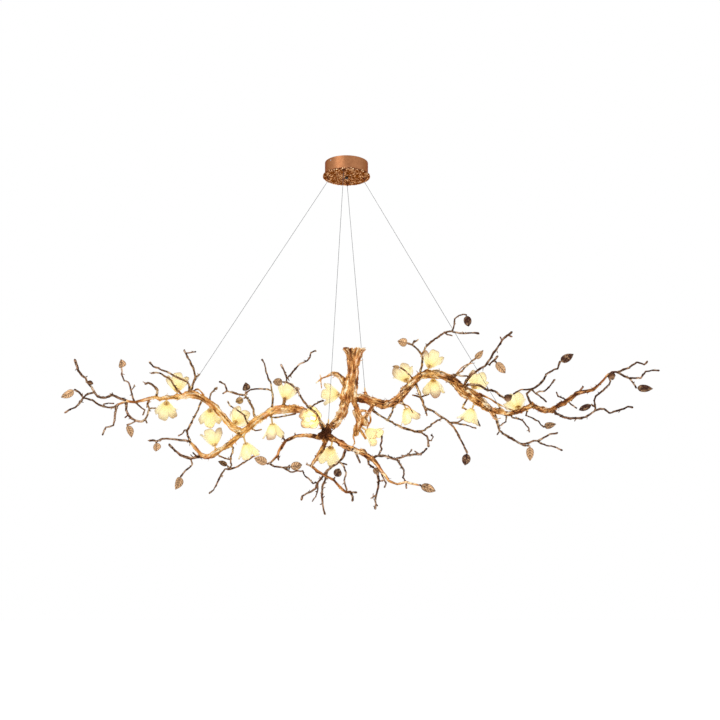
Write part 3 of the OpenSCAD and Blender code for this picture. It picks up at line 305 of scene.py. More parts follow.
def shell(front, back):
    """A closed solid between two sheets, each of rows and columns of points, the front one outermost."""
    rows, columns = front.shape[:2]
    count = rows * columns
    at = np.arange(count).reshape(rows, columns)
    faces = []
    for a, b, c, d in zip(at[:-1, :-1].flat, at[:-1, 1:].flat, at[1:, 1:].flat, at[1:, :-1].flat):
        faces.append((a, b, c, d))
        faces.append((a + count, d + count, c + count, b + count))
    rim = [*at[:, 0], *at[-1, 1:], *at[-2::-1, -1], *at[0, -2:0:-1]]
    for a, b in zip(rim, rim[1:] + rim[:1]):
        faces.append((a, b, b + count, a + count))
    return np.concatenate([front.reshape(-1, 3), back.reshape(-1, 3)]), faces


THICKEST = 20 * MM  # no limb's radius is measured further than this
PROBE_START = 0.3 * MM  # below the surface


def thickness(mesh, co, normals):
    """Half the depth of solid below each point."""
    tree = BVHTree.FromPolygons(
        [tuple(v) for v in co], [tuple(p.vertices) for p in mesh.polygons]
    )
    found = np.full(len(co), THICKEST)
    for i, (p, n) in enumerate(zip(co, normals)):
        hit = tree.ray_cast(Vector(p - n * PROBE_START), Vector(-n), THICKEST * 2)
        if hit[0] is not None:
            found[i] = min((hit[3] + PROBE_START) / 2, THICKEST)
    return found


def limb_axes(co, normals, cell):
    """The direction in which the limb under each point runs."""
    low = co.min(0) - 2 * cell
    shape = np.ceil((co.max(0) + 3 * cell - low) / cell).astype(int)
    pairs = [(0, 0), (1, 1), (2, 2), (0, 1), (0, 2), (1, 2)]
    q = (co - low) / cell - 0.5
    base = np.floor(q).astype(int)
    f = q - base
    grids = []
    flat = np.ravel_multi_index(base.T, shape)
    for a, b in pairs:
        g = np.bincount(flat, normals[:, a] * normals[:, b], np.prod(shape))
        g = g.reshape(shape)
        for axis in range(3):
            g = (np.roll(g, 1, axis) + 2 * g + np.roll(g, -1, axis)) / 4
        grids.append(g)
    tensor = np.zeros((len(co), 3, 3))
    for step in np.ndindex(2, 2, 2):
        weight = np.prod(np.where(step, f, 1 - f), axis=-1)
        i = base + step
        for (a, b), g in zip(pairs, grids):
            part = weight * g[i[:, 0], i[:, 1], i[:, 2]]
            tensor[:, a, b] += part
            if a != b:
                tensor[:, b, a] += part
    return np.linalg.eigh(tensor)[1][:, :, 0]


def drawn_out(co, along, scale, reach, shift):
    """Noise smeared along a direction, so that it runs in strands."""
    total = np.zeros(len(co))
    steps = np.linspace(-reach, reach, int(4 * reach / scale) + 1)
    weights = np.cos(steps / reach * math.pi / 2) + 0.1
    for s, w in zip(steps, weights):
        total += w * noise(co + along * s, scale, shift)
    return settled(total)


# ---- Materials ----
def fill(tree, socket, value):
    """Links a socket to another one, or gives it a number or a colour."""
    if isinstance(value, bpy.types.NodeSocket):
        tree.links.new(value, socket)
    elif socket.type == "RGBA":
        socket.default_value = (*value, 1)
    else:
        socket.default_value = value


def new_node(tree, kind, **values):
    node = tree.nodes.new("ShaderNode" + kind)
    for key, value in values.items():
        fill(tree, node.inputs[key.replace("_", " ")], value)
    return node


class Nodes:
    """Short calls for building a material's nodes."""

    def __init__(self, name):
        self.material = bpy.data.materials.new(name)
        self.material.use_nodes = True
        self.tree = self.material.node_tree
        self.tree.nodes.clear()
        self.shader = self.new("BsdfPrincipled")
        self.new("OutputMaterial", Surface=self.shader.outputs[0])
        self.place = self.new("TexCoord").outputs["Object"]

    def new(self, kind, **values):
        return new_node(self.tree, kind, **values)

    def set(self, **values):
        for key, value in values.items():
            fill(self.tree, self.shader.inputs[key.replace("_", " ")], value)

    def value(self, name):
        n = self.new("Attribute")
        n.attribute_name = name
        return n.outputs["Fac"]

    def noise(self, scale, detail=4.0, rough=0.55, distortion=0.0, stretch=None):
        where = self.place
        if stretch:
            where = self.new("Mapping", Scale=stretch, Vector=where).outputs["Vector"]
        n = self.new("TexNoise", Scale=scale, Detail=detail, Roughness=rough, Distortion=distortion,
                     Vector=where)
        return n.outputs["Fac"]

    def ramp(self, factor, stops):
        n = self.new("ValToRGB", Fac=factor)
        ramp = n.color_ramp
        while len(ramp.elements) < len(stops):
            ramp.elements.new(0.5)
        for element, (position, colour) in zip(ramp.elements, stops):
            element.position = position
            colour = colour if isinstance(colour, tuple) else (colour,) * 3
            element.color = (*colour, 1)
        return n.outputs["Color"]

    def mix(self, factor, a, b, how="MIX"):
        n = self.new("Mix")
        n.data_type = "RGBA"
        n.blend_type = how
        for key, value in (("Factor", factor), ("A", a), ("B", b)):
            fill(self.tree, n.inputs[key], value)
        return n.outputs["Result"]

    def sum(self, how, a, b, clamp=False):
        n = self.new("Math")
        n.operation = how
        n.use_clamp = clamp
        fill(self.tree, n.inputs[0], a)
        fill(self.tree, n.inputs[1], b)
        return n.outputs["Value"]

    def bump(self, height, strength, distance):
        n = self.new("Bump", Height=height, Strength=strength, Distance=distance)
        self.set(Normal=n.outputs["Normal"])


def bark_material(name, seam_shade, shades, lit_shades, grain, warm):
    """Cast bark: relief, hue and glow are kept on the mesh, the fine grain is drawn here."""
    m = Nodes(name)
    speck = m.sum("SUBTRACT", m.noise(grain, 5, 0.6), 0.5)
    hue = m.sum("ADD", m.value("hue"), m.sum("MULTIPLY", speck, 0.5), True)
    glow = m.sum("MULTIPLY", m.value("glow"), warm, True)
    colour = m.mix(glow, m.ramp(hue, shades), m.ramp(hue, lit_shades))
    patches = m.ramp(m.noise(30, 3), [(0.45, 0.0), (0.7, 1.0)])
    colour = m.mix(patches, colour, m.mix(0.7, colour, (0.72, 0.42, 0.34), "MULTIPLY"))
    crest = m.sum("ADD", m.value("relief"), m.sum("MULTIPLY", speck, 0.55), True)
    # The dark seam colour in the bark's hollows is partly patina and partly painted shade.
    colour = m.mix(m.ramp(crest, [(0.22, 0.0), (0.6, 1.0)]), seam_shade, colour)
    shine = m.ramp(m.noise(grain * 0.7, 3), [(0.3, 0.3), (0.7, 0.52)])
    m.set(Base_Color=colour, Metallic=0.92, Roughness=shine)
    m.bump(m.noise(grain * 2.2, 6, 0.65), 0.5, 0.8 * MM)
    return m.material


def metal(name, colour, second, rough, grain, stretch=None, metallic=1.0, edge=(1.0, 1.0, 1.0)):
    """Plain worked metal, with the tool marks and stains that it shows close by."""
    m = Nodes(name)
    stain = m.noise(grain * 0.12, 4, 0.6)
    colour = m.mix(m.ramp(stain, [(0.35, 0.0), (0.7, 1.0)]), colour, second)
    marks = m.noise(grain, 4, 0.6, stretch=stretch)
    shine = m.ramp(marks, [(0.3, max(rough - 0.08, 0.05)), (0.7, rough + 0.1)])
    m.set(Base_Color=colour, Metallic=metallic, Specular_Tint=edge, Roughness=shine)
    m.bump(marks, 0.35, 0.05 * MM)
    return m.material


def moulded(name, colour, second, rough, grain):
    """Moulded plastic or rubber with a fine spark texture."""
    m = Nodes(name)
    spots = m.noise(grain, 3, 0.6)
    colour = m.mix(m.ramp(m.noise(grain * 0.05, 3), [(0.3, 0.0), (0.7, 1.0)]), colour, second)
    m.set(Base_Color=colour, Roughness=rough, Specular_IOR_Level=0.4)
    m.bump(spots, 0.3, 0.08 * MM)
    return m.material


bark = bark_material(
    "cast_bark",
    seam_shade=(0.06, 0.016, 0.005),
    shades=[(0.0, (0.07, 0.019, 0.007)), (0.28, (0.36, 0.125, 0.032)), (0.5, (0.62, 0.28, 0.08)),
            (0.75, (0.88, 0.53, 0.22)), (1.0, (1.0, 0.85, 0.6))],
    lit_shades=[(0.0, (0.42, 0.14, 0.022)), (0.3, (0.74, 0.35, 0.07)), (0.6, (0.97, 0.6, 0.18)),
                (1.0, (1.0, 0.88, 0.56))],
    grain=420, warm=0.75,
)
twig_bark = bark_material(
    "twig_bark",
    seam_shade=(0.034, 0.014, 0.006),
    shades=[(0.0, (0.042, 0.017, 0.008)), (0.35, (0.16, 0.076, 0.038)), (0.58, (0.36, 0.2, 0.108)),
            (1.0, (0.84, 0.62, 0.42))],
    lit_shades=[(0.0, (0.22, 0.075, 0.014)), (0.4, (0.62, 0.32, 0.08)), (1.0, (1.0, 0.82, 0.42))],
    grain=700, warm=0.8,
)
cup_copper = metal("satin_copper", (0.4, 0.172, 0.077), (0.32, 0.13, 0.056), 0.42, 900, (1, 1, 30), 0.85,
                   edge=(0.3, 0.16, 0.09))
steel = metal("brushed_steel", (0.62, 0.63, 0.65), (0.5, 0.51, 0.53), 0.3, 1500, (1, 1, 12))
zinc = metal("zinc_plate", (0.7, 0.7, 0.68), (0.58, 0.57, 0.54), 0.34, 600)
brass = metal("turned_brass", (0.74, 0.52, 0.22), (0.62, 0.4, 0.15), 0.28, 1800, (1, 1, 20))
bronze = metal("plated_bronze", (0.34, 0.15, 0.07), (0.24, 0.1, 0.045), 0.36, 1500, (1, 1, 12), 0.9,
               edge=(0.5, 0.27, 0.15))
cable_steel = metal("cable_steel", (0.13, 0.13, 0.14), (0.09, 0.09, 0.1), 0.4, 1200)
driver_shell = moulded("driver_shell", (0.86, 0.86, 0.83), (0.8, 0.8, 0.77), 0.55, 2500)
terminal_shell = moulded("terminal_shell", (0.86, 0.83, 0.7), (0.8, 0.76, 0.62), 0.35, 2500)
rubber = moulded("bush_rubber", (0.03, 0.03, 0.032), (0.05, 0.048, 0.045), 0.6, 3000)


def plate_material():
    m = Nodes("hammered_copper")
    relief = m.value("relief")
    # Painted shade and highlight: the pebbles' hollows are painted dark and their tops pale, with noise for
    # random tone.
    tone_shade_and_highlight = m.sum("ADD", relief, m.sum("MULTIPLY", m.noise(600, 5), 0.4))
    tone_shade_and_highlight = m.sum("ADD", tone_shade_and_highlight, m.sum("MULTIPLY", m.noise(60, 3), 0.7))
    tone_shade_and_highlight = m.sum("SUBTRACT", tone_shade_and_highlight, 0.55, True)
    colour = m.ramp(
        tone_shade_and_highlight,
        [(0.0, (0.018, 0.004, 0.002)), (0.42, (0.075, 0.019, 0.008)), (0.72, (0.32, 0.112, 0.042)),
         (1.0, (1.0, 0.72, 0.42))],
    )
    m.set(Base_Color=colour, Metallic=1.0, Specular_Tint=(0.95, 0.56, 0.36),
          Roughness=m.ramp(m.noise(300), [(0.3, 0.16), (0.7, 0.3)]))
    m.bump(m.noise(900, 5, 0.65), 0.5, 0.6 * MM)
    return m.material


def leaf_material():
    m = Nodes("leaf_patina")
    vein = m.value("vein")
    tone = m.value("tone")
    cell = m.mix(m.noise(500, 4), (0.74, 0.34, 0.13), (1.0, 0.72, 0.42))
    dark = m.mix(m.noise(420, 3), (0.03, 0.008, 0.004), (0.13, 0.038, 0.016))
    cell = m.mix(tone, cell, dark)
    cell = m.mix(m.sum("MULTIPLY", m.value("glow"), 0.7, True), cell, (0.92, 0.58, 0.16))
    skin = m.mix(vein, cell, m.mix(tone, (0.05, 0.014, 0.006), (0.012, 0.004, 0.003)))
    m.set(Base_Color=skin, Metallic=0.7, Roughness=m.ramp(m.noise(800), [(0.3, 0.32), (0.7, 0.5)]))
    m.bump(m.noise(1600, 5, 0.6), 0.4, 0.3 * MM)
    return m.material


def petal_material():
    """Blown glass: yellow at the foot, pale in the middle, amber to rosy at the stained tips, and a painted
    glow.
    """
    m = Nodes("amber_petal")
    tip = m.value("tip")
    near = m.value("near")
    swirl = m.noise(90, 4, 0.6, 0.8)
    body = m.mix(swirl, (0.98, 0.92, 0.62), (0.95, 0.83, 0.42))
    body = m.mix(m.value("foot"), body, (0.95, 0.8, 0.26))
    body = m.mix(m.sum("MULTIPLY", m.value("rib"), 0.5), body, (0.72, 0.54, 0.18))
    rosy = m.mix(swirl, (0.5, 0.28, 0.18), (0.7, 0.44, 0.22))
    # Painted light: the emission stands for the lamp's glow in the glass, brightest near the lamp and dark at
    # the stained tips.
    shine = m.mix(near, m.mix(swirl, (0.3, 0.26, 0.13), (0.24, 0.19, 0.07)), (1.0, 0.94, 0.7))
    m.set(Base_Color=m.mix(tip, body, rosy), Roughness=0.22, IOR=1.45, Transmission_Weight=0.3,
          Emission_Color=m.mix(tip, shine, (0.04, 0.012, 0.003)), Emission_Strength=0.42, Coat_Weight=0.3)
    m.bump(m.noise(420, 4, 0.6), 0.3, 0.5 * MM)
    return m.material


def lamp_material():
    m = Nodes("lit_capsule")
    glass = m.mix(m.noise(400, 3), (1.0, 0.95, 0.8), (1.0, 0.9, 0.66))
    m.set(Base_Color=glass, Roughness=0.3, Emission_Color=(1.0, 0.84, 0.5), Emission_Strength=3.0)
    m.bump(m.noise(900, 2), 0.1, 0.1 * MM)
    return m.material


petal_glass = petal_material()
lit_capsule = lamp_material()
hammered = plate_material()
leaf_skin = leaf_material()


def dress(material, *names):
    for name in names:
        node = nodes[name]
        if not node.material_slots:
            node.data.materials.append(material)
        for place in node.material_slots:
            place.material = material


# ---- Lamps: where they are, and how much of their light falls on a point
def islands(node):
    """The separate solids of a CAD node, each as its points."""
    mesh = nodes[node].data
    co = points_of(mesh)
    _, first, same = np.unique(np.round(co, 6), axis=0, return_index=True, return_inverse=True)
    group = grouped(same.ravel()[edges_of(mesh)], len(first))
    return [co[first[group == g]] for g in np.unique(group)]


lamp_points = np.array([p.mean(0) for p in islands("capsule_lamps")])
GLOW_REACH = 62 * MM


def glow_at(co):
    """How much of the lamps' warm light falls on each point, from 0 to 1."""
    d = np.linalg.norm(co[:, None, :] - lamp_points[None], axis=2)
    return np.clip(1.25 * np.exp(-((d / GLOW_REACH) ** 2)).sum(1), 0, 1)


# ---- Vines and stubs that grow on the limbs ----
VINE_STEP = 2.5 * MM
VINE_LONG = (90, 240)  # mm along the limb
VINE_SHORTEST = 14  # steps; shorter ones are dropped
VINE_LEAN = (0.12, 0.55)  # radians off the limb's run
VINE_R = (1.7, 3.6)  # mm
VINE_FROM = 5.5 * MM  # radius of the thinnest limb that a vine starts on
VINE_TO = 4.0 * MM  # radius of the limb at which it ends
VINE_OFF = 4.5 * MM  # from the bark, at which it ends
RIM_CLEAR = 9 * MM  # below a limb's highest point, which vines don't reach
STUB_LONG = (3.5, 9)  # mm
STUB_R = (0.9, 1.9)  # mm
STUB_FROM = 1.2 * MM  # radius of the thinnest limb with stubs
LAMP_CLEAR = 46 * MM  # no stub stands closer to a lamp
BOX_CLEAR = 16 * MM  # or to the CAD's box


class Limb:
    """A CAD limb's surface: at each point its normal, its radius and the way that the limb runs."""

    def __init__(self, node, voxel):
        mesh = remeshed(node, voxel)
        edges = edges_of(mesh)
        self.co = relax(points_of(mesh), edges, 3)
        put_points(mesh, self.co)
        self.normal = normals_of(mesh)
        self.radius = relax(thickness(mesh, self.co, self.normal), edges, 8)[:, 0]
        self.axis = limb_axes(self.co, self.normal, 16 * MM)
        bpy.data.meshes.remove(mesh)


def ridden_paths(limb, count, rng):
    """Paths that wind along the limb on its surface, with the surface normal at each point."""
    co, n, axis, radius = limb.co, limb.normal, limb.axis, limb.radius
    tree = KDTree(len(co))
    for i, p in enumerate(co):
        tree.insert(p, i)
    tree.balance()
    highest = co[:, 2].max() - RIM_CLEAR
    starts = np.flatnonzero(radius > VINE_FROM)
    found = []
    for _ in range(count * 3):
        if len(found) == count or not len(starts):
            break
        i = starts[rng.integers(len(starts))]
        point, way = co[i], axis[i] * rng.choice([-1, 1])
        lean = rng.uniform(*VINE_LEAN) * rng.choice([-1, 1])
        path, ups = [], []
        for _ in range(int(rng.uniform(*VINE_LONG) * MM / VINE_STEP)):
            _, i, far = tree.find(Vector(point))
            if far > VINE_OFF or radius[i] < VINE_TO or point[2] > highest:
                break
            along = axis[i] * (1 if axis[i] @ way > 0 else -1)
            point = point - n[i] * ((point - co[i]) @ n[i])
            path.append(point)
            ups.append(n[i])
            way = along * math.cos(lean) + np.cross(n[i], along) * math.sin(lean)
            point = point + way * VINE_STEP
        if len(path) > VINE_SHORTEST:
            found.append((np.array(path), np.array(ups)))
    return found


def vine(path, ups, rng):
    """A strand that swells in the middle and dips in and out of the bark."""
    t = np.linspace(0, 1, len(path))[:, None]
    path = np.concatenate([path[:1], (path[:-2] + path[1:-1] + path[2:]) / 3, path[-1:]])
    r = rng.uniform(*VINE_R) * MM * (0.3 + 0.7 * np.sin(math.pi * t) ** 0.5)
    wave = np.sin(t * rng.uniform(9, 20) + rng.random() * 6)
    return tube(path + ups * (r * (0.25 + 0.35 * wave)), r[:, 0])


def stub(point, up, axis, thick, rng):
    """The stump of a broken twig, that leans along the limb."""
    way = up + axis * rng.choice([-1, 1]) * rng.uniform(0.3, 1.4)
    way /= np.linalg.norm(way)
    long = rng.uniform(*STUB_LONG) * MM * min(1.6, 0.7 + thick / (6 * MM))
    r = min(thick * 0.7, rng.uniform(*STUB_R) * MM)
    bend = np.cross(way, up) * rng.uniform(-0.3, 0.3)
    t = np.linspace(-0.25, 1, 6)[:, None]
    return tube(point + way * (t * long) + bend * (t * t * long), r * (1.15 - 0.55 * t[:, 0]), 6)


def grown_on(node, vines, stubs, voxel, seed):
    """The vines and stubs of one limb."""
    rng = np.random.default_rng(seed)
    limb = Limb(node, voxel)
    solids = [vine(path, ups, rng) for path, ups in ridden_paths(limb, vines, rng)]
    low, high = np.array(cad_bounds)
    for _ in range(stubs):
        i = rng.integers(len(limb.co))
        p, thick = limb.co[i], limb.radius[i]
        if np.linalg.norm(lamp_points - p, axis=1).min() < LAMP_CLEAR or thick < STUB_FROM:
            continue
        if (p < low + BOX_CLEAR).any() or (p > high - BOX_CLEAR).any():
            continue
        solids.append(stub(p, limb.normal[i], limb.axis[i], thick, rng))
    return solids


# torn strands that stand off the bark: node, thickness and way forward in mm, pixels of the photograph
SHARDS = (
    ("trunk", 14, 8, ((355, 411), (357, 421), (361, 431), (366, 439))),
    ("trunk", 10, 8, ((358, 412), (364, 410), (370, 414), (371, 421), (367, 428))),
    ("trunk", 7, 5, ((354, 426), (353, 436), (355, 443), (352, 447))),
    ("bough_right", 7, 5, ((482, 391), (489, 398), (498, 404), (509, 409), (519, 412))),
    ("bough_right", 6, 9, ((483, 397), (487, 406), (491, 414), (495, 420), (501, 418))),
    ("bough_right", 5, 5, ((456, 374), (461, 368), (467, 364), (475, 363))),
    ("bough_right", 7, 6, ((396, 400), (402, 404), (409, 406), (413, 413))),
    ("bough_left", 5, 4, ((206, 386), (198, 388), (190, 393), (186, 399))),
)


def shard(node, thick, forward, pixels):
    """A tapered strand, rooted in the bark at its first pixel, that curls past the others."""
    root = at_pixel(points_of(nodes[node].data), *pixels[0], 12)
    t = np.linspace(0, 1, len(pixels))
    depths = root[1] - forward * MM * np.sin(math.pi * t)
    stops = [root] + [behind_pixel(*xy, depth) for xy, depth in zip(pixels[1:], depths[1:])]
    fine = np.linspace(0, 1, 8 * len(pixels))
    path = np.stack([np.interp(fine, t, [p[k] for p in stops]) for k in range(3)], 1)
    for _ in range(10):
        path[1:-1] = (path[:-2] + 2 * path[1:-1] + path[2:]) / 4
    return tube(path, thick * MM / 2 * (1.15 - 0.6 * fine) * (1 + 0.12 * np.sin(fine * 19)))


# ---- Bark ----
BOUGH_BARK = dict(
    voxel=1.2 * MM * FINE,  # of the even mesh
    rounds=2,  # of smoothing
    wander=0.0,  # how far straight stretches stray to and fro
    fuller=0.0,  # how far the bark stands over the solid
    cell=14 * MM,  # over which the way that a limb runs is averaged
    strand=4.4 * MM,  # width of a strand of bark
    reach=20 * MM,  # half its length
    depth=2.3 * MM,  # height of its relief
    knot=34 * MM,  # between two knots
    material=bark, slot="bark_copper",
)
TWIG_BARK = dict(
    voxel=0.85 * MM * FINE, rounds=7, wander=1.7 * MM, fuller=0.4 * MM, cell=7 * MM, strand=2.2 * MM,
    reach=10 * MM, depth=1.2 * MM, knot=13 * MM, material=twig_bark, slot="twig_copper",
)
# layers of strands: how far they turn off the limb's run, how much wider they are, seed, steepness
STRAND_LAYERS = ((0.3, 1.0, 0.0, 1.15), (-0.24, 1.0, 17.3, 1.15), (0.12, 2.1, 31.9, 1.6))
WANDER_SCALE = 13 * MM
# how much of the lamps' glow a limb takes, how far its seams fade, and how pale it is
LOOKS = {
    "trunk": (0.6, 0.3, 0.1), "bough_left": (1.1, 0.34, 0.1), "bough_left_low": (1.0, 0.3, 0.09),
    "bough_right": (0.7, 0.16, 0.06), "bough_right_outer": (0.4, 0.06, -0.02),
    "bough_front": (0.6, 0.16, 0.03), "twigs_front_left": (0.7, 0.04, 0.04),
    "twigs_front_low": (0.9, 0.1, 0.07), "twigs_front_right": (0.7, 0.04, 0.05),
    "twigs_far_left": (1.2, 0.1, 0.06), "twigs_far_right": (0.6, 0.0, -0.08),
}
PLAIN_LOOK = (1.3, 0.05, 0.02)
VINES = {"trunk": 9, "bough_left": 9, "bough_left_low": 5, "bough_right": 16, "bough_right_outer": 9,
         "bough_front": 7}
STUBS_TO_A_VINE = 5
TWIG_STUBS = 34
BOUGH_SEED, TWIG_SEED = 40, 70
DARK_KNOT_NODE = "bough_front"
DARK_KNOT = (325, 433)  # pixel of the photograph
DARK_KNOT_REACH = 26 * MM
RIM_DEEP = 4 * MM  # of the trunk's top, whose middle is the rim's
FRILL_DEEP = 20 * MM
FRILL_TEETH = ((9, 0.0, 0.5), (17, 1.3, 0.35), (31, 0.4, 0.25))  # teeth round the rim, phase, share


def wandering(co, most):
    """Moves the points so that straight stretches wander a little to and fro."""
    away = np.stack([noise(co, WANDER_SCALE, shift) for shift in (3.1, 7.7, 12.3)], 1)
    return co + (away - 0.5) * 2 * most


def frilled(co, n):
    """The torn, flared rim round the hollow at the trunk's top."""
    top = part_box("trunk")[1][2]
    near = np.clip(1 - (top - co[:, 2]) / FRILL_DEEP, 0, 1)
    rim = co[co[:, 2] > top - RIM_DEEP].mean(0)
    out = co - rim
    angle = np.arctan2(out[:, 1], out[:, 0])
    teeth = sum(share * np.sin(angle * count + phase) for count, phase, share in FRILL_TEETH)
    out[:, 2] = 0
    out /= np.linalg.norm(out, axis=1)[:, None] + 1e-9
    flare = near ** 2 * (9.0 + 3.0 * teeth) * MM
    co = co + out * (flare * (n * out).sum(1).clip(-0.3, 1))[:, None]
    co[:, 2] += near ** 1.5 * (teeth * 3.8 - 1.2) * MM
    return co


def charred(co, n):
    """The swollen, pitted dark knot: the moved points, and how burnt each is."""
    away = np.linalg.norm(co - at_pixel(co, *DARK_KNOT, 40), axis=1)
    burnt = np.exp(-((away / DARK_KNOT_REACH) ** 4))
    pits, _ = cells(co, 5 * MM)
    return co + n * (burnt * (1.5 + 3 * (pits - 0.4)) * MM)[:, None], burnt


def carve_bark(node, grown, look, voxel, rounds, wander, fuller, cell, strand, reach, depth, knot,
               material, slot):
    """Bark strands that run along the limb, with knots, and dark seams where they meet: patina and painted
    shade.
    """
    lit, fade, pale = look
    mesh = remeshed(node, voxel, grown)
    edges = edges_of(mesh)
    co = relax(points_of(mesh), edges, rounds, 0.52)
    if wander:
        co = wandering(co, wander)
    put_points(mesh, co)
    n = normals_of(mesh)
    radius = relax(thickness(mesh, co, n), edges, 12)[:, 0]
    axis = limb_axes(co, n, cell)
    across = np.cross(n, axis)
    relief = np.ones(len(co))
    for turn, wide, shift, steep in STRAND_LAYERS:
        along = axis * math.cos(turn) + across * math.sin(turn)
        strands = np.abs(drawn_out(co, along, strand * wide, reach * wide, shift))
        relief = np.minimum(relief, np.clip(strands * steep, 0, 1))
    hue = drawn_out(co, axis, strand * 1.15, reach * 1.1, 51.7)
    lumps = settled(noise(co, strand * 3.2, 5.0) + 0.5 * noise(co, strand * 1.6, 9.0))
    far, _ = cells(co, knot)
    nub = np.exp(-((far * 4.2) ** 2))
    share = np.clip(radius / (12 * MM), 0.14, 1.2)
    height = (relief - 0.7) * depth + np.clip(lumps, -2, 2) * depth * 0.35
    co = co + n * (fuller + height * share + nub * np.minimum(0.1 * knot, radius * 0.75))[:, None]
    burnt = 0
    if node == "trunk":
        co = frilled(co, n)
    else:
        if node == DARK_KNOT_NODE:
            co, burnt = charred(co, n)
        co = np.clip(co, *cad_bounds)
    put_points(mesh, co)
    seams = fade + (1 - fade) * (relief * 0.85 + 0.1 + 0.08 * lumps - 0.3 * nub)
    keep_value(mesh, "relief", np.clip(seams * (1 - 0.75 * burnt), 0, 1))
    keep_value(mesh, "hue", np.clip((0.5 + pale + 0.21 * hue + 0.06 * lumps) * (1 - 0.85 * burnt), 0, 1))
    keep_value(mesh, "glow", glow_at(co) * lit * (1 - burnt))
    shown(mesh, "bark_" + node, material, [node])


for seed, node in enumerate(sorted(VINES), BOUGH_SEED):
    grown = grown_on(node, VINES[node], STUBS_TO_A_VINE * VINES[node], 2.6 * MM, seed)
    grown += [shard(*rest) for rest in SHARDS if rest[0] == node]
    carve_bark(node, grown, LOOKS[node], **BOUGH_BARK)
for seed, node in enumerate(sorted(n for n in nodes if n.startswith("twigs_")), TWIG_SEED):
    grown = grown_on(node, 0, TWIG_STUBS, 1.6 * MM, seed)
    carve_bark(node, grown, LOOKS.get(node, PLAIN_LOOK), **TWIG_BARK)

# ---- Canopy ----
PLATE_TOP = -44 * MM
CUP_R = 75.5 * MM  # the plate stays smooth where the cup sits on it
PEBBLES = ((7.5 * MM, 2.6, 0.7), (3.4 * MM, 2.4, 0.3))  # size, steepness of the seams, share
PEBBLE_DEEP = 2.0 * MM
GRIPPER_CLEAR, BUSH_CLEAR = 8 * MM, 10 * MM  # flat round what comes through


def upright_line(node):
    """Where a node's upright middle line stands, seen from above."""
    (x0, y0, _), (x1, y1, _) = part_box(node)
    return (x0 + x1) / 2, (y0 + y1) / 2


def hammered_plate():
    """The cast disc under the cup, hammered into pebbles."""
    mesh = remeshed("canopy_plate", 1.1 * MM * FINE)
    co = relax(points_of(mesh), edges_of(mesh), 1, 0.5)
    n = normals_of(mesh)
    warped = co + 2.0 * MM * (noise(co, 6 * MM)[:, None] - 0.5)
    relief = np.zeros(len(co))
    for size, steep, share in PEBBLES:
        first, second = cells(warped, size)
        relief += share * np.clip((second - first) * steep, 0, 1)
    spots = [(*upright_line("plunger_" + side), GRIPPER_CLEAR) for side in SIDES] + [(0, 0, BUSH_CLEAR)]
    clear = np.minimum.reduce([np.hypot(co[:, 0] - x, co[:, 1] - y) / r for x, y, r in spots])
    room = np.clip((clear - 1) * 4, 0, 1)
    outside = np.clip((np.hypot(co[:, 0], co[:, 1]) - CUP_R) / (2 * MM), 0, 1)
    outside = np.maximum(outside, np.clip((PLATE_TOP - 3 * MM - co[:, 2]) / (1.5 * MM), 0, 1))
    put_points(mesh, co - n * ((1 - relief) * PEBBLE_DEEP * room * outside)[:, None])
    keep_value(mesh, "relief", np.clip(0.15 + 0.85 * relief, 0, 1))
    shown(mesh, "hammered_plate", hammered, ["canopy_plate"])


hammered_plate()
dress(cup_copper, "canopy_cup")
dress(zinc, "ceiling_bracket")
dress(steel, "canopy_screws")
dress(driver_shell, "lamp_driver")
dress(terminal_shell, "terminal_block")
dress(rubber, "cord_bushes")
dress(brass, "gripper_nuts", "cable_ferrules", "lamp_holders")
dress(bronze, "gripper_barrels", *(n for n in nodes if n.startswith("plunger_")))
dress(lit_capsule, "capsule_lamps")

# ---- Cables: six strands laid round a core ----
CABLE_R = 0.75 * MM
CABLE_STEP = 1.5 * MM
LAY = 9 * MM  # along the cable for one turn of a strand
AROUND = 18  # points round the cable
CAD_CORNERS = 8  # points round the CAD's cable


def cable(side):
    rings = np.unique(np.round(points_of(nodes["cable_" + side].data), 6), axis=0)
    rings = rings[np.argsort(-rings[:, 2])]
    last = len(rings) - CAD_CORNERS + 1
    stops = [rings[i:i + CAD_CORNERS].mean(0) for i in range(0, last, CAD_CORNERS)]
    path = [stops[0]]
    for a, b in zip(stops, stops[1:]):
        count = max(2, int(np.linalg.norm(b - a) / CABLE_STEP))
        path += [a + (b - a) * k / count for k in range(1, count + 1)]
    path = np.array(path)
    travelled = np.concatenate([[0], np.cumsum(np.linalg.norm(np.diff(path, axis=0), axis=1))])
    angle = 2 * math.pi * (np.arange(AROUND) / AROUND - travelled[:, None] / LAY)
    radii = CABLE_R * (0.8 + 0.2 * np.abs(np.cos(3 * angle)))
    mesh = plain_mesh("strands_" + side, *tube(path, radii, AROUND, (0, 1, 0.2)))
    shown(mesh, "cable_strands_" + side, cable_steel, ["cable_" + side])


for side in SIDES:
    cable(side)

# ---- Gripper springs: wound wire in each spring's place; the real spring shortens as its plunger is pushed up
SPRING_TURNS = 14
SPRING_WIRE = 0.6 * MM
SPRING_STEPS = 24  # rings of wire in a turn


def wound_spring(side):
    node = "spring_" + side
    (x0, _, foot), (x1, _, top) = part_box(node)
    x, y = upright_line(node)
    r = (x1 - x0) / 2 - SPRING_WIRE / 2
    turn = np.linspace(0, SPRING_TURNS, SPRING_TURNS * SPRING_STEPS + 1)
    # the first and the last turn lie close, the others share the rest of the height
    stops = (foot + SPRING_WIRE / 2, foot + 1.6 * SPRING_WIRE, top - 1.6 * SPRING_WIRE, top - SPRING_WIRE / 2)
    rise = np.interp(turn, (0, 1, SPRING_TURNS - 1, SPRING_TURNS), stops)
    a = 2 * math.pi * turn
    path = np.stack([x + r * np.cos(a), y + r * np.sin(a), rise], 1)
    wire = plain_mesh("wire_" + side, *tube(path, np.full(len(path), SPRING_WIRE / 2)))
    piece = shown(wire, "spring_wire_" + side, steel, [node])
    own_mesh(piece)


for side in SIDES:
    wound_spring(side)

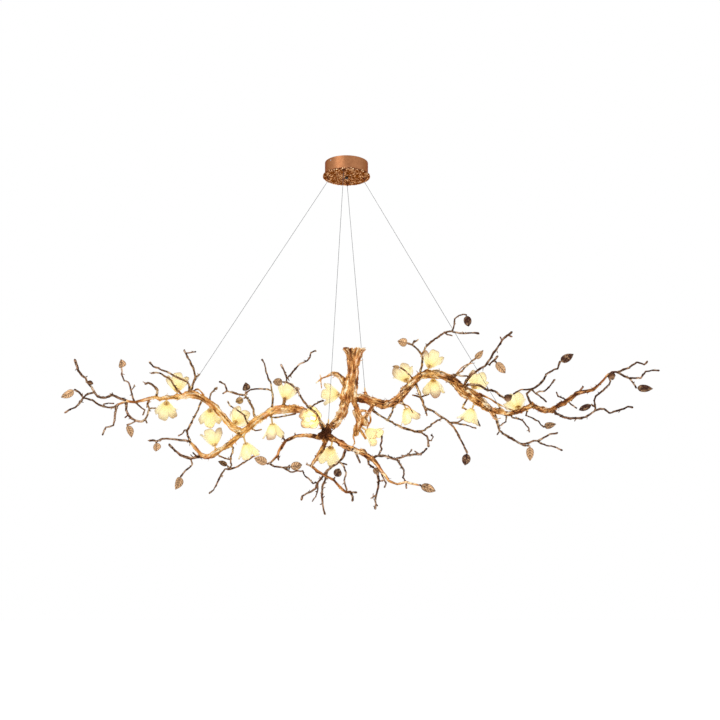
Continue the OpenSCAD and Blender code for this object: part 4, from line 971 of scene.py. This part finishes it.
# ---- Leaves ----
# from base to tip and across, as shares of the leaf's length and width
LEAF_OUTLINE = ((0, 0.06), (0.06, 0.26), (0.15, 0.41), (0.3, 0.5), (0.5, 0.5), (0.66, 0.43), (0.8, 0.3),
                (0.91, 0.15), (1, 0.02))
LEAF_LONG, LEAF_WIDE = 40, 13  # quads from base to tip, and from the midrib to an edge
LEAF_THICK = 1.0 * MM
LEAF_RIDGE = 0.9 * MM  # between the bottom of a cell and the top of a vein
# leaves with a dark or a pale patina, counted from the left on their side of the trunk
DARK_LEAVES = {"left": (7, 9), "right": (0, 5, 6, 12, 13, 15)}
PALE_LEAVES = {"left": (0, 3, 4, 10), "right": (2, 3, 7, 8, 10)}


def leaf_tone(side, number):
    """From 0, pale, to 1, dark."""
    if number in DARK_LEAVES[side]:
        return 0.9
    if number in PALE_LEAVES[side]:
        return -0.25
    return 0.1 + 0.4 * ((number * 0.61803) % 1)


def blade_frame(points):
    """A CAD blade's base, the reach to its tip, the ways across and out of its face, and its width."""
    middle = points.mean(0)
    spread = np.linalg.eigh(np.cov((points - middle).T))[1]
    side = spread[:, 1]
    t = (points - middle) @ spread[:, 2]
    w = np.abs((points - middle) @ side)
    t = (t - t.min()) / np.ptp(t)
    if w[t < 0.35].max() < w[t > 0.65].max():
        t = 1 - t
    base, tip = points[t < 0.08].mean(0), points[t > 0.92].mean(0)
    reach = tip - base
    along = reach / np.linalg.norm(reach)
    side = side - along * (side @ along)
    side /= np.linalg.norm(side)
    face = np.cross(side, along)
    bent = (points - base) @ face
    if bent[np.abs(t - 0.5) < 0.2].mean() < 0:
        side, face = -side, -face
    return base, reach, side, face, 2 * np.abs((points - base) @ side).max()


def leaf_veins(u, away, half):
    """How much of a vein each point is: midrib, side veins, the net between them, and the rim."""
    rib = np.exp(-((away * half / (1.0 * MM)) ** 2))
    slant = u * 5.2 - away * 1.3
    veins = np.exp(-(((slant + 0.5) % 1 - 0.5) / 0.16) ** 2) * (u < 0.93) * (u > 0.04)
    stagger = 0.5 * (np.floor(slant) % 2)
    net = np.exp(-(((away * half / (3.4 * MM) + 0.5 + stagger) % 1 - 0.5) / 0.15) ** 2)
    rim = np.exp(-(((1 - away) * half / (1.1 * MM)) ** 2))
    return np.clip(np.maximum.reduce([rib, 0.95 * veins, 0.75 * net, 0.85 * rim]), 0, 1)


def leaf(points, number):
    """A folded blade with a notched edge, where the CAD blade is, and its veins."""
    base, reach, side, face, width = blade_frame(points)
    u = np.linspace(0, 1, LEAF_LONG + 1)[:, None]
    v = np.linspace(-1, 1, 2 * LEAF_WIDE + 1)[None, :]
    half = np.interp(u, *np.transpose(LEAF_OUTLINE)) * width
    half = half * (1 + 0.05 * np.abs(((u * 11 + number * 0.37) % 1) - 0.5) * (u < 0.97))
    away = np.abs(v)
    crinkle = np.sin(u * 9 + number) * 0.03 * width * away * np.sign(v)
    arch = np.sin(math.pi * u)
    lift = 0.1 * np.linalg.norm(reach) * arch + away * half * 0.25 + crinkle * arch
    vein = leaf_veins(u, away, half)
    ridge = (0.5 - vein) * LEAF_RIDGE
    middle = base + reach * u[..., None] + side * (v * half)[..., None] + face * lift[..., None]
    upper = middle + face * (LEAF_THICK / 2 + ridge)[..., None]
    lower = middle - face * (LEAF_THICK / 2 - ridge)[..., None]
    verts, faces = shell(upper, lower)
    return verts, faces, np.tile(vein.ravel(), 2)


def leaves(side):
    blades = [leaf(points, number) for number, points in enumerate(islands("leaves_" + side))]
    verts, faces = joined([blade[:2] for blade in blades])
    mesh = plain_mesh("leaf_blades_" + side, verts, faces)
    keep_value(mesh, "vein", np.concatenate([vein for _, _, vein in blades]))
    tones = [np.full(len(own), leaf_tone(side, number)) for number, (own, _, _) in enumerate(blades)]
    blotch = (noise(verts, 5 * MM, 3.0) - 0.5) * 1.2
    keep_value(mesh, "tone", np.clip(np.concatenate(tones) + blotch, 0, 1))
    keep_value(mesh, "glow", glow_at(verts))
    shown(mesh, "leaf_blades_" + side, leaf_skin, ["leaves_" + side])


for side in ("left", "right"):
    leaves(side)

# ---- Seed pods, round the small buds at the twigs' ends
# node, pixel of the photograph, half width in mm
PODS = (("twigs_right_top", 510, 396.5, 13), ("twigs_far_right", 612, 377, 11.5),
        ("twigs_far_left", 92, 383, 8))
POD_ROUND, POD_TALL = 40, 24


def pod(number, node, x, y, half):
    """A ribbed round pod with a short beak below."""
    middle = at_pixel(points_of(nodes[node].data), x, y, 8)
    half = half * MM
    a = 2 * math.pi * np.arange(POD_ROUND)[None, :] / POD_ROUND
    b = math.pi * np.arange(1, POD_TALL)[:, None] / POD_TALL
    ribs = np.abs(np.sin(a * 5 + 0.8 * np.cos(b))) ** 0.6
    r = half * (0.86 + 0.14 * ribs * np.sin(b)) * (1 + 0.04 * np.sin(9 * b))
    beak = 1 + 0.22 * np.exp(-(((math.pi - b) / 0.3) ** 2))
    skin = np.stack([r * np.sin(b) * np.cos(a), r * np.sin(b) * np.sin(a), r * np.cos(b) * beak], -1)
    skin = skin.reshape(-1, 3)
    verts = np.concatenate([skin, [[0, 0, half * 0.9], [0, 0, -half * 1.14]]]) + middle
    top, foot = len(skin), len(skin) + 1
    lowest = (POD_TALL - 2) * POD_ROUND
    faces = []
    for j in range(POD_ROUND):
        k = (j + 1) % POD_ROUND
        faces += [(top, j, k), (foot, lowest + k, lowest + j)]
        for i in range(0, lowest, POD_ROUND):
            faces.append((i + j, i + POD_ROUND + j, i + POD_ROUND + k, i + k))
    mesh = plain_mesh("seed_pod", verts, faces)
    keep_value(mesh, "relief", np.append(np.broadcast_to(ribs, r.shape), [0.5, 0.5]))
    # The pod's colour turns paler towards its bottom and darker towards its top.
    keep_value(mesh, "hue", np.clip(0.3 + 0.45 * (middle[2] - verts[:, 2]) / half, 0, 1))
    keep_value(mesh, "glow", np.zeros(len(verts)))
    shown(mesh, "seed_pod_%d" % number, twig_bark)


for number, place in enumerate(PODS):
    pod(number, *place)

# ---- Glass flowers ----
PETALS = 5
PETAL_LONG, PETAL_WIDE = 26, 22  # quads from foot to rim, and across
PETAL_FOOT = 9.0 * MM  # from the flower's axis
# the outer and the inner ring: half a petal's spread in degrees, height and reach as shares of the
# flower's, how its side bends out, its lift, how far its rim rolls, and its turn in petals
RINGS = ((41, 1.0, 0.97, 0.75, 0.4 * MM, 1.0, 0.5), (33, 0.66, 0.62, 0.9, 1.0 * MM, -0.5, 0.0))


def flower_place(node):
    """The flower's own frame: base, axis and the turn of its petals, measured on its node."""
    points = np.unique(np.round(points_of(nodes[node].data), 6), axis=0)
    middle = points.mean(0)
    values, vectors = np.linalg.eigh(np.cov((points - middle).T))
    odd = 0 if abs(values[1] - values[0]) > abs(values[2] - values[1]) else 2
    axis = vectors[:, odd]
    t = (points - middle) @ axis
    r = np.linalg.norm(points - middle - t[:, None] * axis, axis=1)
    if np.corrcoef(t, r)[0, 1] < 0:
        axis, t = -axis, -t
    x = np.cross(axis, [0, 1, 0] if abs(axis[1]) < 0.8 else [1, 0, 0])
    x /= np.linalg.norm(x)
    y = np.cross(axis, x)
    far = r > r.max() - 1.0 * MM
    turn = np.arctan2((points - middle) @ y, (points - middle) @ x)[far]
    turn = np.angle(np.exp(1j * PETALS * turn).mean()) / PETALS
    return middle + axis * t.min(), np.stack([x, y, axis], 1), turn, r.max(), np.ptp(t)


def petal(number, ring, wide, tall, seed):
    """One petal in the flower's frame: a thin shell with a rolled, ruffled rim."""
    rng = np.random.default_rng(seed)
    spread, height, share, bend, lift, roll, shift = RINGS[ring]
    v = np.linspace(0, 1, PETAL_LONG + 1)[:, None]
    u = np.linspace(-1, 1, PETAL_WIDE + 1)[None, :]
    notch = 0.26 * np.abs(u) ** 3
    h = v * (1 - notch * v ** 0.5)
    r = PETAL_FOOT + (wide * share - PETAL_FOOT) * h ** bend
    ruffle = np.sin(u * math.pi * 1.6 + rng.random() * 6) * 1.5 * MM * v ** 3
    r = r + ruffle + 0.9 * MM * u * v * (1 - 0.5 * v)
    r = r - 2.2 * MM * (1 - u ** 2) * np.sin(math.pi * v)
    z = tall * height * h ** 1.1 + lift - 3.2 * MM * v ** 6 * (1 - 0.4 * np.abs(u)) * roll
    narrow = 0.78 + 0.22 * np.sin(math.pi * np.clip(v * 1.05, 0, 1)) ** 0.5
    angle = u * math.radians(spread) * narrow + 2 * math.pi * (number + shift) / PETALS
    outer = np.stack([r * np.cos(angle), r * np.sin(angle), z], -1)
    n = np.cross(np.gradient(outer, axis=1), np.gradient(outer, axis=0))
    n /= np.linalg.norm(n, axis=-1)[..., None] + 1e-12
    rib = np.exp(-((u / 0.07) ** 2)) + 0.6 * np.exp(-(((np.abs(u) * 3.1 - v * 0.5) % 1 - 0.5) / 0.16) ** 2)
    rib = np.clip(rib * np.sin(math.pi * np.clip(v, 0, 0.95)), 0, 1)
    outer = outer + n * (rib * 0.35 * MM)[..., None]
    inner = outer - n * (1.5 - 0.7 * v)[..., None] * MM
    edge = np.maximum(v, np.abs(u) * v ** 0.5)
    stain = rng.random() ** 1.3
    tip = np.clip((edge - 0.85 + 0.4 * stain) / 0.45, 0, 1) ** 1.2 * (0.3 + 0.7 * stain)
    tip = np.maximum(tip, 0.75 * np.clip((edge - 0.93) / 0.05, 0, 1))
    foot = np.broadcast_to(np.clip(1 - v / 0.45, 0, 1), rib.shape)
    return *shell(outer, inner), {"tip": tip, "rib": rib, "foot": foot}


def flower(number):
    node = "glass_flower_%02d" % number
    base, turned, turn, wide, tall = flower_place(node)
    # a petal's middle, and not a notch, points where the rim reaches furthest
    turn -= math.pi / PETALS
    c, s = math.cos(turn), math.sin(turn)
    turned = turned @ np.array([[c, -s, 0], [s, c, 0], [0, 0, 1]])
    petals = [petal(k, ring, wide, tall, 100 * number + 10 * ring + k)
              for ring in range(len(RINGS)) for k in range(PETALS)]
    verts, faces = joined([own[:2] for own in petals])
    co = base + verts @ turned.T
    mesh = plain_mesh("blossom", co, faces)
    for key in ("tip", "rib", "foot"):
        keep_value(mesh, key, np.concatenate([np.tile(values[key].ravel(), 2) for _, _, values in petals]))
    # near: how close the glass lies to a lamp, which brightens the painted glow.
    far = np.linalg.norm(co[:, None] - lamp_points[None], axis=2).min(1)
    keep_value(mesh, "near", np.exp(-((far / (25 * MM)) ** 2)))
    shown(mesh, "blossom_%02d" % number, petal_glass, [node])


for number in range(1, 20):
    flower(number)

# ---- Light and floor ----
LAMP_WATTS = 0.035
AIM = Vector((0.05, 0, -0.85))  # the studio lights' target, the middle of the branch
STUDIO = (("key", (-1.8, -2.4, 0.9), 2.2, 34), ("fill", (2.2, -2.0, -0.3), 2.4, 12),
          ("back", (0.3, 2.6, 0.3), 2.6, 16))  # name, place, size, watts
WORLD_LIGHT, WORLD_SEEN = 0.7, 1.0  # the world's strength on the object, and as the background
FLOOR_Z, FLOOR_HALF = -2.6, 9


def add_light(name, kind, at, watts):
    lamp = placed(name, bpy.data.lights.new(name, kind))
    lamp.location = at
    lamp.data.energy = watts
    return lamp


for i, p in enumerate(lamp_points):
    lamp = add_light("lamp_%02d" % i, "POINT", p, LAMP_WATTS)
    lamp.data.color = (1.0, 0.74, 0.38)
    lamp.data.shadow_soft_size = 12 * MM
for name, at, size, watts in STUDIO:
    lamp = add_light(name, "AREA", at, watts)
    lamp.data.size = size
    lamp.rotation_euler = (AIM - Vector(at)).to_track_quat("-Z", "Y").to_euler()


def background_rays(tree):
    """1 for the rays that show the background: the camera's own, and those through metal and glass."""
    path = new_node(tree, "LightPath")
    seen = path.outputs["Is Camera Ray"]
    for ray in ("Is Glossy Ray", "Is Transmission Ray"):
        most = new_node(tree, "Math")
        most.operation = "MAXIMUM"
        tree.links.new(seen, most.inputs[0])
        tree.links.new(path.outputs[ray], most.inputs[1])
        seen = most.outputs[0]
    return seen


world = bpy.data.worlds.new("world")
bpy.context.scene.world = world
world.use_nodes = True
tree = world.node_tree
tree.nodes.clear()
strength = new_node(tree, "MapRange", Value=background_rays(tree), To_Min=WORLD_LIGHT, To_Max=WORLD_SEEN)
background = new_node(tree, "Background", Color=(1, 1, 1), Strength=strength.outputs["Result"])
new_node(tree, "OutputWorld", Surface=background.outputs[0])

corners = [(x * FLOOR_HALF, y * FLOOR_HALF, FLOOR_Z) for x, y in ((-1, -1), (1, -1), (1, 1), (-1, 1))]
floor = placed("floor", plain_mesh("floor", corners, [(0, 1, 2, 3)]))
m = Nodes("pale_floor")
m.set(Base_Color=m.mix(m.noise(2, 2), (0.93, 0.93, 0.93), (0.91, 0.91, 0.91)), Roughness=0.9,
      Emission_Color=(1, 1, 1), Emission_Strength=m.sum("MULTIPLY", background_rays(m.tree), 0.45))
floor.data.materials.append(m.material)

bpy.context.scene.view_settings.view_transform = "Standard"
